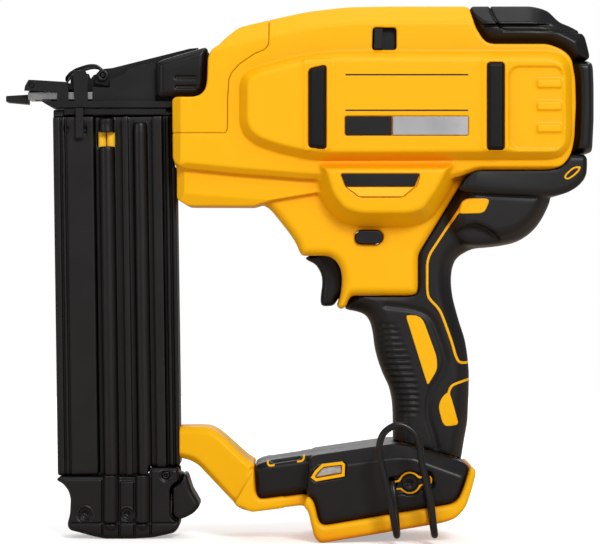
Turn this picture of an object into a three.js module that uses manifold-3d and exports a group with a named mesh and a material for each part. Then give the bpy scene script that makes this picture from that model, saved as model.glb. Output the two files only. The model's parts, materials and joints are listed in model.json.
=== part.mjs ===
// Cordless brad nailer, standing on its magazine end cap and its battery foot.
// Millimetres, +Z up. The nose points along -X, the hook side of the tool is -Y, and the two housing
// halves meet on the plane Y = 0. The origin is the centre of the flat end face of the magazine cap.
//
// Outlines are drawn in the XZ plane from a drawing origin under the middle of the tool, as
// [x, z] corners or [x, z, radius] rounded corners, and the whole assembly is moved at the end.
import * as THREE from "three";
import { mergeVertices } from "three/addons/utils/BufferGeometryUtils.js";
import Module from "manifold-3d";

const wasm = await Module();
wasm.setup();

// ---------------------------------------------------------------- driving dimensions
const STAND_X = -91.5; // drawing x of the middle of the magazine's end face
const GAP = 0.35; // gap between neighbouring pieces
const WALL = 3; // wall of the housing mouldings

const BODY_HALF = 31; // half widths, from the parting plane
const PANEL_HALF = 37.5;
const LOWER_HALF = 25;
const NECK_HALF = 22;
const PAD_HALF = 39.6;
const GRIP_HALF = 18;
const CORE_HALF = 14.6;
const BULGE_HALF = 27;
const SPINE_HALF = 12;
const FOOT_HALF = 37.5;
const FOOT_NOSE_HALF = 26;
const ARM_HALF = 13.4; // at its free end
const ARM_WIDENS = 0.31; // for each mm towards the foot
const ARM_END_X = -61.1;
const REAR_HALF = 31.5;
const NOSE_COVER_HALF = 18;
const NOSE_HALF = 11;

const DRIVE_Z = 228.3; // height of the nail's line of travel
const RAIL_Y = 14;
const RAIL_R = 3;
const FLYWHEEL = { x: 40, z: 196.2, r: 25 };
const FOOT_TILT = THREE.MathUtils.degToRad(9.5); // the foot's floor rises towards the rear
const FOOT_CORNER = { x: 12, z: 0 }; // drawing point where the foot meets the ground
const MAGAZINE_LEAN = THREE.MathUtils.degToRad(0.8);
const MAGAZINE_TOP = { x: -93.2, z: 222 };
const HUGE = 900; // far enough to cut right through anything

// ---------------------------------------------------------------- colours and finishes
const finish = (color, roughness, metalness = 0) =>
  new THREE.MeshStandardMaterial({ color, roughness, metalness });
const YELLOW = finish(0xfdb913, 0.45);
const BLACK_PLASTIC = finish(0x1c1c1e, 0.5);
const RUBBER = finish(0x161617, 0.75);
const ANODISED = finish(0x202022, 0.4, 0.6);
const BLACK_STEEL = finish(0x232325, 0.45, 0.7);
const STEEL = finish(0xb9bcc0, 0.3, 1);
const ALUMINIUM = finish(0xa8abaf, 0.45, 0.9);
const COPPER = finish(0x9a5a30, 0.4, 0.9);
const LENS = finish(0xd8dde2, 0.1);

// ---------------------------------------------------------------- solids
// A closed geometry as a manifold-3d solid.
function solid(geometry) {
  const bare = geometry.index ? geometry.toNonIndexed() : geometry.clone();
  bare.deleteAttribute("normal");
  bare.deleteAttribute("uv");
  const merged = mergeVertices(bare, 1e-4);
  return new wasm.Manifold(
    new wasm.Mesh({
      numProp: 3,
      vertProperties: new Float32Array(merged.attributes.position.array),
      triVerts: new Uint32Array(merged.index.array),
    }),
  );
}

// A solid back as a flat-shaded geometry.
function geometryOf(made) {
  const mesh = made.getMesh();
  const positions = new Float32Array(mesh.numVert * 3);
  for (let i = 0; i < mesh.numVert; i++) {
    positions.set(mesh.vertProperties.subarray(i * mesh.numProp, i * mesh.numProp + 3), i * 3);
  }
  const geometry = new THREE.BufferGeometry();
  geometry.setAttribute("position", new THREE.BufferAttribute(positions, 3));
  geometry.setIndex(new THREE.BufferAttribute(mesh.triVerts, 1));
  const flat = geometry.toNonIndexed();
  flat.computeVertexNormals();
  return flat;
}

const join = (first, ...others) => others.reduce((all, next) => all.add(next), first);
const cut = (first, ...others) => others.reduce((left, next) => left.subtract(next), first);
const within = (made, region) => cut(made, cut(made, region));
const mirrored = (made) => made.mirror([0, 1, 0]);
const bothSides = (made) => join(made, mirrored(made));

function box(x0, x1, y0, y1, z0, z1) {
  const geometry = new THREE.BoxGeometry(x1 - x0, y1 - y0, z1 - z0);
  geometry.translate((x0 + x1) / 2, (y0 + y1) / 2, (z0 + z1) / 2);
  return solid(geometry);
}

// A cylinder along Y between y0 and y1, centred on drawing point x, z.
function rodY(x, z, radius, y0, y1, sides = 20) {
  const geometry = new THREE.CylinderGeometry(radius, radius, y1 - y0, sides);
  geometry.translate(x, (y0 + y1) / 2, z);
  return solid(geometry);
}

// A cylinder along X.
function rodX(y, z, radius, x0, x1, sides = 16) {
  const geometry = new THREE.CylinderGeometry(radius, radius, x1 - x0, sides);
  geometry.rotateZ(Math.PI / 2);
  geometry.translate((x0 + x1) / 2, y, z);
  return solid(geometry);
}

// A cylinder along Z.
function rodZ(x, y, radius, z0, z1, sides = 16) {
  const geometry = new THREE.CylinderGeometry(radius, radius, z1 - z0, sides);
  geometry.rotateX(Math.PI / 2);
  geometry.translate(x, y, (z0 + z1) / 2);
  return solid(geometry);
}

// Corners, some of them rounded, as the points of a closed outline.
function rounded(corners, segments = 3) {
  const points = [];
  corners.forEach(([x, z, radius], i) => {
    const corner = new THREE.Vector2(x, z);
    if (!radius) {
      points.push(corner);
      return;
    }
    const before = new THREE.Vector2(...corners.at(i - 1).slice(0, 2)).sub(corner).normalize();
    const after = new THREE.Vector2(...corners[(i + 1) % corners.length].slice(0, 2));
    after.sub(corner).normalize();
    const half = Math.acos(THREE.MathUtils.clamp(before.dot(after), -1, 1)) / 2;
    const reach = radius / Math.tan(half);
    const centre = before.clone().add(after).normalize().multiplyScalar(radius / Math.sin(half));
    centre.add(corner);
    const start = before.multiplyScalar(reach).add(corner).sub(centre);
    const end = after.multiplyScalar(reach).add(corner).sub(centre);
    let turn = end.angle() - start.angle();
    if (turn > Math.PI) turn -= 2 * Math.PI;
    if (turn < -Math.PI) turn += 2 * Math.PI;
    for (let k = 0; k <= segments; k++) {
      points.push(start.clone().rotateAround(new THREE.Vector2(), (turn * k) / segments).add(centre));
    }
  });
  return points;
}

// The outline drawn in by `distance`. Stretches too short to survive close up to a point.
function drawnIn(points, distance) {
  const count = points.length;
  const lines = points.map((from, i) => {
    const along = points[(i + 1) % count].clone().sub(from).normalize();
    const inward = new THREE.Vector2(-along.y, along.x);
    return { from: from.clone().addScaledVector(inward, distance), along };
  });
  const crossing = (one, two) => {
    const sine = one.along.cross(two.along);
    if (Math.abs(sine) < 0.02) return two.from.clone();
    const reach = two.from.clone().sub(one.from).cross(two.along) / sine;
    return one.from.clone().addScaledVector(one.along, reach);
  };
  let alive = lines.map((_, i) => i);
  for (;;) {
    const corners = alive.map((line, k) => crossing(lines[alive.at(k - 1)], lines[line]));
    const lengths = alive.map((line, k) =>
      corners[(k + 1) % corners.length].clone().sub(corners[k]).dot(lines[line].along),
    );
    const shortest = lengths.indexOf(Math.min(...lengths));
    if (lengths[shortest] > 1e-3 || alive.length < 4) {
      return points.map((_, i) => {
        const next = alive.findIndex((line) => line >= i);
        return corners[next === -1 ? 0 : next];
      });
    }
    alive = alive.filter((_, k) => k !== shortest);
  }
}

// A closed skin through rings of matching points, with a flat face over each end.
function lofted(rings) {
  const position = [];
  const put = (...triangle) => {
    const [a, b, c] = triangle;
    if (a.equals(b) || b.equals(c) || c.equals(a)) return;
    triangle.forEach((point) => position.push(point.x, point.y, point.z));
  };
  for (let r = 1; r < rings.length; r++) {
    rings[r].forEach((point, i) => {
      const next = (i + 1) % rings[r].length;
      put(rings[r - 1][i], rings[r][next], rings[r - 1][next]);
      put(rings[r - 1][i], point, rings[r][next]);
    });
  }
  [rings[0], rings.at(-1)].forEach((ring, end) => {
    const kept = ring.filter((point, i) => !point.equals(ring.at(i - 1)));
    const flat = kept.map((point) => new THREE.Vector2(point.x, point.z));
    for (const [a, b, c] of THREE.ShapeUtils.triangulateShape(flat, [])) {
      if (end === 0) put(kept[a], kept[b], kept[c]);
      else put(kept[a], kept[c], kept[b]);
    }
  });
  const geometry = new THREE.BufferGeometry();
  geometry.setAttribute("position", new THREE.Float32BufferAttribute(position, 3));
  return solid(geometry);
}

// An outline in XZ, drawn out along Y from y0 to y1. The edge of its y0 end is chamfered by `chamfer` in
// the outline and `drop` along Y, `inset` draws the whole outline in, and `widen` moves the y0 end out by
// so much for each mm along X from the drawing origin.
function slab(corners, y0, y1, { chamfer = 0, drop = chamfer, inset = 0, widen = 0 } = {}) {
  let points = rounded(corners);
  if (THREE.ShapeUtils.isClockWise(points)) points.reverse();
  if (inset) points = drawnIn(points, inset).filter((point, i, all) => !point.equals(all.at(i - 1)));
  const ring = (flat, y, slope) =>
    flat.map((point) => new THREE.Vector3(point.x, y - slope * point.x, point.y));
  const rings = [ring(points, y0 + drop, widen), ring(points, y1, 0)];
  if (chamfer) rings.unshift(ring(drawnIn(points, chamfer), y0, widen));
  return lofted(rings);
}

// The same outline on both sides of the parting plane, chamfered on both.
function wide(corners, half, options) {
  return bothSides(slab(corners, -half, 0.5, options));
}

// A round bar along a smooth curve.
function bar(points, radius, { sides = 8, steps = 40 } = {}) {
  const path = new THREE.CatmullRomCurve3(points.map((p) => new THREE.Vector3(...p)), false, "centripetal");
  const section = new THREE.Shape(
    Array.from({ length: sides }, (_, i) => {
      const angle = (2 * Math.PI * i) / sides;
      return new THREE.Vector2(radius * Math.cos(angle), radius * Math.sin(angle));
    }),
  );
  return solid(new THREE.ExtrudeGeometry(section, { steps, extrudePath: path, bevelEnabled: false }));
}

// A turned piece about the Y axis: [radius, y] corners.
function turnedY(profile, x, z, segments = 24) {
  const geometry = new THREE.LatheGeometry(
    profile.map(([radius, y]) => new THREE.Vector2(radius, y)),
    segments,
  );
  geometry.translate(x, 0, z);
  return solid(geometry);
}

// ---------------------------------------------------------------- the scene graph
const nailer = new THREE.Group();
nailer.name = "brad_nailer";
const assembly = new THREE.Group();
assembly.position.set(-STAND_X, 0, 0);
nailer.add(assembly);

const magazineGroup = new THREE.Group(); // leans with the magazine; its z runs up the magazine
magazineGroup.position.set(MAGAZINE_TOP.x, 0, MAGAZINE_TOP.z);
magazineGroup.rotation.y = -MAGAZINE_LEAN;
assembly.add(magazineGroup);

function add(name, made, material, group = assembly) {
  const mesh = new THREE.Mesh(geometryOf(made), material);
  mesh.name = name;
  group.add(mesh);
  return mesh;
}

const footMatrix = new THREE.Matrix4()
  .makeTranslation(FOOT_CORNER.x, 0, FOOT_CORNER.z)
  .multiply(new THREE.Matrix4().makeRotationY(-FOOT_TILT));
const fromFoot = (made) => made.transform(footMatrix.elements); // from the tilted foot's own frame

// ---------------------------------------------------------------- outlines of the mouldings
const BODY = [
  [-14.6, 266.1], [5, 270.3], [25, 272.6], [45, 273], [87, 273], [88, 269.5], [90, 262],
  [94.5, 254.8], [98, 253.2], [127, 253.2], [134.5, 250.3], [139, 246], [141, 235], [141.3, 222],
  [140.5, 205], [139, 197.8], [136.5, 193], [132.5, 190], [127, 189], [92, 189], [88, 187.8],
  [84.5, 184], [62, 147], [61.5, 144.5], [61.5, 128.5], [60.5, 126], [58, 125.2], [28.5, 125.2],
  [26.3, 124], [24, 118.2], [19.8, 118.4], [21.6, 124], [22.6, 131], [22.4, 137], [20.8, 141.5],
  [17.5, 144.8], [14, 145.6], [3, 145.6], [1.3, 146.3], [-1, 152.3], [-5, 158.2], [-14, 169.5],
  [-17.5, 172], [-19.5, 172], [-22, 170.9], [-55.5, 171], [-60.7, 174.5], [-62, 190.5],
  [-63.8, 193.5], [-64.3, 207.7], [-35.2, 207.7], [-34.9, 235], [-29.6, 242.6], [-21.8, 247.9],
  [-14.6, 251.9],
];
// The wide upper part of the body, with the front cover in it.
const SHELL = [
  [5, 270.3], [25, 272.6], [45, 273], [87, 273], [88, 269.5], [90, 262], [94.5, 254.8], [98, 253.2],
  [127, 253.2], [134.5, 250.3], [139, 246], [141, 235], [141.3, 222], [140.5, 205], [139, 197.8],
  [136.5, 193], [132.5, 190], [127, 189], [92, 189], [80, 185], [7, 185], [-30, 187.3], [-58, 190],
  [-63.8, 193.5], [-64.3, 226.3], [-51.8, 226.3], [-47.8, 228.6], [-46.3, 233], [-45.8, 247],
  [-43.5, 251.2], [-41, 252], [-37.5, 256], [-30, 262.3], [-14.6, 266.1],
];
// Where the front cover is parted from the housing, running out past its free edges.
const COVER_SIDE = [
  [-90, 207.9], [-90, 300], [-14.8, 300], [-14.8, 252.2], [-22, 248.2], [-29.9, 242.8],
  [-35.2, 235.1], [-35.4, 207.9],
];
const LOWER_FRONT = [
  [-62, 190.5], [-60.7, 174.5], [-55.5, 171], [-22, 170.9], [-19.5, 172], [-12, 172], [12, 172],
  [20, 190.5],
];
const PANEL = [
  [-30, 210], [-30, 236], [-24, 240.5], [0, 247], [20, 249.3], [130, 249.3], [137, 246],
  [139, 240], [139.5, 205], [137, 198], [131, 194], [8, 193.5], [-12, 198], [-24, 202.5],
];
const GAUGE_PLATE = [
  [6, 190], [11, 173], [19, 163], [30, 159.5], [58, 159.5], [68, 163], [77, 176], [84, 190],
  [84, 197], [6, 197],
];
const COVER_HOLLOW = [
  [-64.3, 208.1], [-64.3, 226.3], [-51.8, 226.3], [-47.8, 228.6], [-46.3, 233], [-45.8, 247],
  [-43.5, 251.2], [-41, 252], [-37.5, 256], [-30, 262.3], [-15, 266], [-15, 252.4],
  [-22.1, 248.4], [-30.2, 243], [-35.4, 235.2], [-35.6, 208.1],
];
const NOSE_COVER = [
  [-72.7, 227], [-72.5, 239], [-71, 243], [-67, 245.2], [-46.3, 251.2], [-46.6, 247],
  [-47.1, 233], [-48.6, 229.2], [-52, 227],
];
const HANDLE_CORE = [
  [43, 133], [43, 112], [42.2, 104], [43, 98], [44.8, 91], [47.5, 84], [50.3, 78], [51.8, 72],
  [52.3, 65], [52.6, 52], [52, 13], [76, 17], [80.5, 26], [82, 38], [81.5, 45], [83.2, 53],
  [84.7, 62], [85.3, 75], [85.3, 86], [84.5, 95], [83, 103], [80, 111.5], [77, 123], [76, 133],
];
// Its hidden edges run on behind the housing and the foot cover, which it is cut back to.
const GRIP = [
  [22.6, 119.9], [24.6, 117.8], [30, 117], [34.5, 115.4], [37, 112.6], [38.5, 108], [39.2, 103.5],
  [39.8, 98], [41.6, 91], [44.2, 84], [47.2, 78], [48.6, 72], [49.2, 65], [49.4, 43],
  [83.2, 35], [86, 52], [87.5, 60], [88.1, 75], [88.3, 85], [87.4, 95], [86, 103], [83, 112],
  [80, 123], [79, 130], [79, 136], [80, 141], [82, 144.6], [86, 147.3], [92, 150], [103, 151],
  [112, 152.8], [119, 157], [124, 162.5], [128, 170], [130, 175.5], [128, 184], [127, 195],
  [84, 195], [55.5, 150], [55.5, 131], [30, 131],
];
const BULGE = [
  [75, 165.5], [86, 183.5], [129, 181], [130, 175.5], [128, 170], [124, 162.5], [119, 157],
  [112, 152.8], [103, 151], [92, 150], [83, 151],
];
const REAR_BAND = [
  [82, 178.2], [85.2, 183.5], [88.5, 187.2], [92.2, 188.4], [127.3, 188.4], [132.8, 189.4],
  [137, 192.4], [139.6, 197.4], [147, 197], [147.2, 190], [146.4, 185], [142, 180.2], [136, 177],
  [128, 175.5], [100, 176.5],
];
const REAR_BUMPER = [
  [87.7, 273], [122, 273.2], [126, 272.3], [133, 264.6], [138.5, 262.6], [146, 258.3],
  [148.2, 250], [149, 245.3], [139.8, 245.3], [134.8, 250.8], [127.2, 253.8], [98.2, 253.8],
  [95.2, 255.2], [90.7, 262.2], [88.6, 269.7],
];
const REAR_CAP = [
  [140.1, 244.9], [149.3, 244.9], [150.6, 242.5], [151, 232], [151, 215], [150.3, 200],
  [149.5, 197.8], [139.8, 197.8], [141.2, 205], [141.9, 222], [141.6, 235],
];
// The arm's free end runs on past the magazine, which it is cut back to.
const ARM = [
  [-75, 42.3], [-75, 57.7], [-49, 57.7], [-44, 57], [-39, 53.5], [-25, 40.5],
  [-21.9, 39.3], [-22.6, 36.5], [-21.8, 24.4], [-20.8, 18.5], [-24, 15], [-29, 15.5],
  [-33, 18.5], [-52, 38.5], [-57, 41],
];
const ARM_TONGUE = [
  [-24, 15], [-27, 18], [-22.2, 24.4], [-20.3, 21.4], [-18, 21], [-8, 22.3], [-8, 17.1],
];
const TRAY_NOSE = [
  [-24, 15], [-33, 18.5], [-24, 34], [-22.6, 36.5], [-21.8, 24.4], [-20.3, 21.4], [-18, 21],
  [4.4, 24], [7, 22.5], [8.6, 19.2], [9.4, 15], [5, 16.6], [2.5, 18.3],
];
const TRAY = [
  [2.5, 18.3], [5, 16.6], [7, 8], [8.4, 2.4], [11, 0], [13, 0], [74, 10.3], [80, 12.5], [85, 18],
  [88, 27], [90.3, 36], [89, 38.2], [87, 38], [86.4, 36], [83.6, 27.3], [81, 21.6], [77.6, 19.6],
  [15, 9.1], [12.6, 9], [10.3, 11.1], [8.6, 19.2], [7, 22.5], [4.4, 24],
];
const FOOT_COVER_NOSE = [
  [-22.2, 36.5], [-21.4, 24.6], [-20.1, 21.8], [-18, 21.4], [4.5, 24.4], [7.3, 22.9], [16, 22],
  [16, 45.4], [-17.5, 40.4], [-21.6, 38.6],
];
const FOOT_COVER = [
  [4, 24.5], [7.3, 22.9], [9, 19.4], [10.7, 11.4], [12.8, 9.5], [15, 9.6], [77.5, 20.1],
  [80.7, 22], [83.2, 27.5], [86, 36], [86.6, 38.4], [84.2, 40.8], [60, 47.8], [49, 50.3],
  [6, 44],
];

// ---------------------------------------------------------------- openings in the mouldings
const STALL_WINDOW = [[37.6, 250], [38, 261.4], [50, 261.4], [50, 250]];
const TRIGGER_SLOT = [[6, 144], [8, 159], [34, 159], [34, 121], [28, 116], [17, 116], [17, 144]];
const PAD_FRONT = [[5.6, 200.4], [13.9, 199.6], [14, 241.6], [5.6, 239.6]];
const PAD_REAR = [[95.9, 199.2], [104.1, 199.2], [104.1, 242.9], [95.9, 242.9]];
const HANDLE_WINDOW = [[55.4, 115.2], [62.5, 115.2], [71.6, 91], [71.2, 86.6], [66.4, 79]];
const BACK_WINDOW = [[76.5, 75.6], [78.4, 73.2], [82.6, 58.8], [75.4, 57.6], [72, 67.5], [73, 72]];
const SPINE_WINDOW = [[81.2, 167], [86.4, 174.6], [97.4, 174.6], [93.4, 167]];
const LED_WINDOW = [
  [6.4, 33.2], [9, 31.2], [23.6, 33.8], [23.8, 40], [22.4, 41.3], [12.2, 40.1], [8.6, 36.8],
];
const LOCK_BUTTON = { x: 36.3, z: 155, reach: 3.8, radius: 3.3 };
const SPINE = [[60, 135], [60, 140], [84, 179], [90, 184], [122, 184], [122, 166], [112, 157], [80, 156]];
const BADGE = [[24, 206.5], [24, 215.8], [86, 215.8], [86, 206.5]];
const LABEL = [[31, 175.2], [53, 175.2], [60, 180.8], [61.5, 186.8], [21.9, 186.8], [24, 180.6]];
const HOUSING_SCREWS = [
  { name: "front", x: -45, z: 180, face: LOWER_HALF, seat: LOWER_HALF - 2 },
  { name: "top", x: 76, z: 262, face: BODY_HALF, seat: BODY_HALF - 3 },
  { name: "neck", x: 69.5, z: 127.6, face: CORE_HALF, seat: CORE_HALF - 1 },
  { name: "arm", x: -44, z: 48.5, face: ARM_HALF + 6, seat: ARM_HALF + 3 },
];

// ---------------------------------------------------------------- outlines of the moving parts
const TRIGGER = [
  [3.6, 144.9], [4.5, 143.3], [8.8, 141.5], [10.9, 138.6], [12.4, 135.1], [12.6, 130.8],
  [11.8, 125], [11.6, 121], [12.7, 119.4], [18.6, 119.7], [20, 122.4], [25, 127.5], [25, 139],
  [22.4, 141.8], [22.4, 152], [19.6, 156.6], [13, 156.6], [9.6, 153], [8.6, 146.2],
];
const TRIGGER_PIVOT = { x: 15.4, z: 151.6 };
const LATCH_PIVOT = { x: -100.8, z: 238.7 };
const HOOK_ENDS = [[47.6, 30], [65.2, 32.6]];
const HOOK_SCREW = { x: 56.6, z: 30.4 };
const HOOK_OUT = -55; // how far out the hook's legs hang
const HOOK_WIRE_R = 1.75;
const MAGAZINE_LOW = -189.2; // lower end of the magazine, from its top
const CAP_HALF = 16.5;
const END_CAP = [
  [-122.6, 32], [-124.6, 30.4], [-120.8, 28.3], [-118, 24.7], [-116.9, 20.4], [-117.3, 12.5],
  [-118.7, 7.5], [-117.6, 4.6], [-104.4, 1.1], [-100.1, 0.2], [-98, 0], [-85, 0], [-74.3, 0.7],
  [-63.6, 3.1], [-61.1, 6.1], [-61, 32], [-61.4, 36.6], [-76.5, 36.6], [-76.5, 32],
];
const CAP_LEVER = [
  [-60, 29.7], [-59.3, 33.3], [-57.2, 32.9], [-54.7, 24.7], [-50.7, 18.2], [-50.7, 16.4],
  [-54, 12.8], [-59.3, 10.2], [-62.9, 9.6], [-65, 12], [-65, 26.1], [-62.9, 28.3],
];
const CAP_PIVOT = { x: -67.9, z: 32.8 };
const CAP_SCREWS = [[-109.3, 13], [-87.8, 12.7]];
const CAP_COLUMNS = [[-96.2, 4.1], [-79.9, 3.9]]; // they carry the magazine's two tubes on down: x, radius

// ---------------------------------------------------------------- housing halves
// A slot-shaped bar along Y, `grow` wider all round.
function stadium({ x, z, reach, radius }, grow, y0, y1) {
  return join(
    rodY(x - reach, z, radius + grow, y0, y1, 12),
    rodY(x + reach, z, radius + grow, y0, y1, 12),
    box(x - reach, x + reach, y0, y1, z - radius - grow, z + radius + grow),
  );
}

// One half, stopped just short of the parting plane.
const trimmed = (made) => cut(made, box(-HUGE, HUGE, -0.15, HUGE, -HUGE, HUGE));

function housingSkin() {
  return join(
    slab(BODY, -NECK_HALF, 0.5, { chamfer: 3 }),
    slab(LOWER_FRONT, -LOWER_HALF, 0.5, { chamfer: 2 }),
    cut(slab(SHELL, -BODY_HALF, 0.5, { chamfer: 4 }), slab(COVER_SIDE, -50, 1, { inset: -GAP / 2 })),
    slab(PANEL, -PANEL_HALF, 0.5, { chamfer: 4, drop: 6.5 }),
    slab(GAUGE_PLATE, -PANEL_HALF, 0.5, { chamfer: 8, drop: 15.5 }),
    slab(HANDLE_CORE, -CORE_HALF, 0.5, { chamfer: 2 }),
    slab(SPINE, -SPINE_HALF, 0.5),
    slab(SPINE_WINDOW, -BULGE_HALF + 0.4, 0.5),
    slab(HANDLE_WINDOW, -GRIP_HALF + 0.4, 0.5),
    slab(BACK_WINDOW, -GRIP_HALF + 0.4, 0.5),
    cut(
      slab(ARM, -ARM_HALF + ARM_WIDENS * ARM_END_X, 0.5, { chamfer: 4, widen: ARM_WIDENS }),
      box(-HUGE, ARM_END_X, -HUGE, HUGE, -HUGE, HUGE),
    ),
    slab(ARM_TONGUE, -FOOT_NOSE_HALF + 2, 0.5),
    slab(TRAY_NOSE, -FOOT_NOSE_HALF, 0.5, { chamfer: 1 }),
    slab(TRAY, -FOOT_HALF, 0.5, { chamfer: 1.5 }),
  );
}

function housingHollow() {
  return join(
    slab(BODY, -NECK_HALF + WALL, 1, { inset: WALL }),
    cut(slab(SHELL, -BODY_HALF + WALL, 1, { inset: WALL }), slab(COVER_SIDE, -50, 2, { inset: -WALL })),
    slab(PANEL, -PANEL_HALF + WALL, 1, { inset: WALL + 3 }),
    slab(GAUGE_PLATE, -NECK_HALF - 3, 1, { inset: WALL + 2 }),
    slab(HANDLE_CORE, -CORE_HALF + WALL, 1, { inset: WALL }),
    box(46, 74, -CORE_HALF + WALL, 1, 110, 140),
  );
}

function housingHalf() {
  const bosses = HOUSING_SCREWS.map(({ x, z, seat }) => rodY(x, z, 4, -seat, 0.5, 12));
  return trimmed(cut(
    join(cut(housingSkin(), housingHollow()), ...bosses),
    slab(STALL_WINDOW, -BODY_HALF - 1, -20),
    slab(TRIGGER_SLOT, -9.4, 1),
    slab(PAD_FRONT, -PANEL_HALF - 1, -PANEL_HALF + 1.6, { inset: -GAP }),
    slab(PAD_REAR, -PANEL_HALF - 1, -PANEL_HALF + 1.6, { inset: -GAP }),
    stadium(LOCK_BUTTON, GAP, -NECK_HALF - 2, 1),
    box(-70, -59, -13, 1, 204, 234),
    box(-36, -24, -22.6, 1, 211, 244),
    fromFoot(box(6, 90, -24, 1, -6, 6)),
  ));
}

// The screw holes run from the right face through the right half and into the left half.
function screwHoles(side) {
  return HOUSING_SCREWS.map(({ x, z, face, seat }) =>
    side < 0
      ? rodY(x, z, 1.6, -8, 1, 10)
      : join(rodY(x, z, 1.6, -1, seat + 1, 10), rodY(x, z, 3.3, seat - 3, face + 12, 14)),
  );
}

function screwY(x, z, seat) {
  const head = turnedY([[0, seat - 2.7], [2.9, seat - 2.7], [2.9, seat - 0.8], [2.2, seat], [0, seat]],
    x, z, 16);
  return join(head, rodY(x, z, 1.25, -7, seat - 2, 8));
}

function housing() {
  const half = housingHalf();
  const plates = [BADGE, LABEL].map((outline) =>
    slab(outline, -PANEL_HALF - 1, -PANEL_HALF + 0.9, { inset: -GAP }));
  add("housing_left", cut(half, ...plates, ...screwHoles(-1)), YELLOW);
  add("housing_right", cut(mirrored(half), ...screwHoles(1)), YELLOW);
  HOUSING_SCREWS.forEach(({ x, z, seat, name }) =>
    add("housing_screw_" + name, screwY(x, z, seat), BLACK_STEEL));
}

function frontCover() {
  const shell = cut(
    within(slab(SHELL, -BODY_HALF, 0.5, { chamfer: 4 }), slab(COVER_SIDE, -50, 1, { inset: GAP / 2 })),
    slab(COVER_HOLLOW, -BODY_HALF + WALL, 1, { inset: WALL }),
    box(-70, -42.6, -13, 1, 204, 245),
    box(-45, -12, -22.6, 1, 206, 252),
    box(-58, -12, -25, 1, 204, 222),
  );
  add("front_cover", bothSides(shell), YELLOW);
}

// ---------------------------------------------------------------- overmoulds, pads and rear pieces
function grip() {
  const around = join(
    slab(BODY, -40, 1, { inset: -GAP }),
    slab(HANDLE_CORE, -CORE_HALF - GAP, 1, { inset: -GAP }),
    slab(SPINE, -SPINE_HALF - GAP, 1, { inset: -GAP }),
    slab(SPINE_WINDOW, -40, 1, { inset: -GAP }),
    slab(HANDLE_WINDOW, -40, 1, { inset: -GAP }),
    slab(BACK_WINDOW, -40, 1, { inset: -GAP }),
  );
  const left = trimmed(cut(
    join(
      slab(GRIP, -GRIP_HALF, 0.5, { chamfer: 5 }),
      slab(BULGE, -BULGE_HALF, 0.5, { chamfer: 6, drop: 8 }),
      slab(REAR_BAND, -REAR_HALF, 0.5, { chamfer: 2 }),
    ),
    around,
    slab(FOOT_COVER, -40, 1, { inset: -GAP }),
  ));
  const access = HOUSING_SCREWS.map(({ x, z }) => rodY(x, z, 3.6, 0, 60, 14));
  add("grip_left", left, RUBBER);
  add("grip_right", cut(mirrored(left), ...access), RUBBER);
}

function pads() {
  const floor = -PANEL_HALF + 1.6 - GAP;
  [["front", PAD_FRONT], ["rear", PAD_REAR]].forEach(([name, outline]) => {
    const pad = slab(outline, -PAD_HALF, floor, { chamfer: 1 });
    add(`side_pad_${name}_left`, pad, RUBBER);
    add(`side_pad_${name}_right`, mirrored(pad), RUBBER);
  });
  const plate = (outline) => slab(outline, -PANEL_HALF - 0.2, -PANEL_HALF + 0.9 - GAP);
  add("badge_plate_left", plate(BADGE), ALUMINIUM);
  add("label_plate_left", plate(LABEL), BLACK_PLASTIC);
}

function rearPieces() {
  add("rear_bumper", wide(REAR_BUMPER, REAR_HALF, { chamfer: 5 }), BLACK_PLASTIC);
  add("rear_cap", wide(REAR_CAP, REAR_HALF, { chamfer: 2.5, drop: 6 }), BLACK_PLASTIC);
}

// ---------------------------------------------------------------- foot
function footCovers() {
  const pocket = slab(FOOT_COVER, -FOOT_HALF + 4, 1, { inset: 3.2 });
  const left = trimmed(cut(
    join(
      slab(FOOT_COVER_NOSE, -FOOT_NOSE_HALF, 0.5, { chamfer: 3 }),
      slab(FOOT_COVER, -FOOT_HALF + 1, 0.5, { chamfer: 2.5 }),
    ),
    pocket,
    slab(HANDLE_CORE, -CORE_HALF - GAP, 1, { inset: -GAP }),
  ));
  const hookHoles = HOOK_ENDS.map(([x, z]) => rodY(x, z, 2.3, -FOOT_HALF - 2, -FOOT_HALF + 8, 12));
  add("foot_cover_left", cut(
    left,
    slab(LED_WINDOW, -FOOT_HALF - 2, -FOOT_HALF + 3, { inset: -GAP }),
    ...hookHoles,
    fromFoot(box(36.5, 61, -FOOT_HALF - 2, -FOOT_HALF + 2.8, 18, 27)),
    rodY(HOOK_SCREW.x, HOOK_SCREW.z, 1.6, -FOOT_HALF - 2, -20, 12),
  ), RUBBER);
  add("foot_cover_right", cut(
    mirrored(left),
    box(30, 44.4, FOOT_HALF - 2.2, FOOT_HALF + 2, 26, 34),
  ), RUBBER);
  add("mode_selector", cut(
    box(30.4, 36.4, FOOT_HALF - 1.8, FOOT_HALF + 0.8, 26.4, 33.6),
    box(32.9, 33.9, FOOT_HALF + 0.3, FOOT_HALF + 2, 26, 34),
  ), YELLOW);
}

function lamps() {
  const outer = -FOOT_HALF + 0.4;
  const floor = -FOOT_HALF + 3 - GAP;
  const bezel = cut(slab(LED_WINDOW, outer, floor), slab(LED_WINDOW, outer - 1, floor + 1, { inset: 1.6 }));
  const lens = slab(LED_WINDOW, outer + 0.6, floor, { inset: 1.6 + GAP, chamfer: 0.6 });
  add("lamp_bezel", bezel, YELLOW);
  add("lamp_lens", lens, LENS);
}

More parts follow.
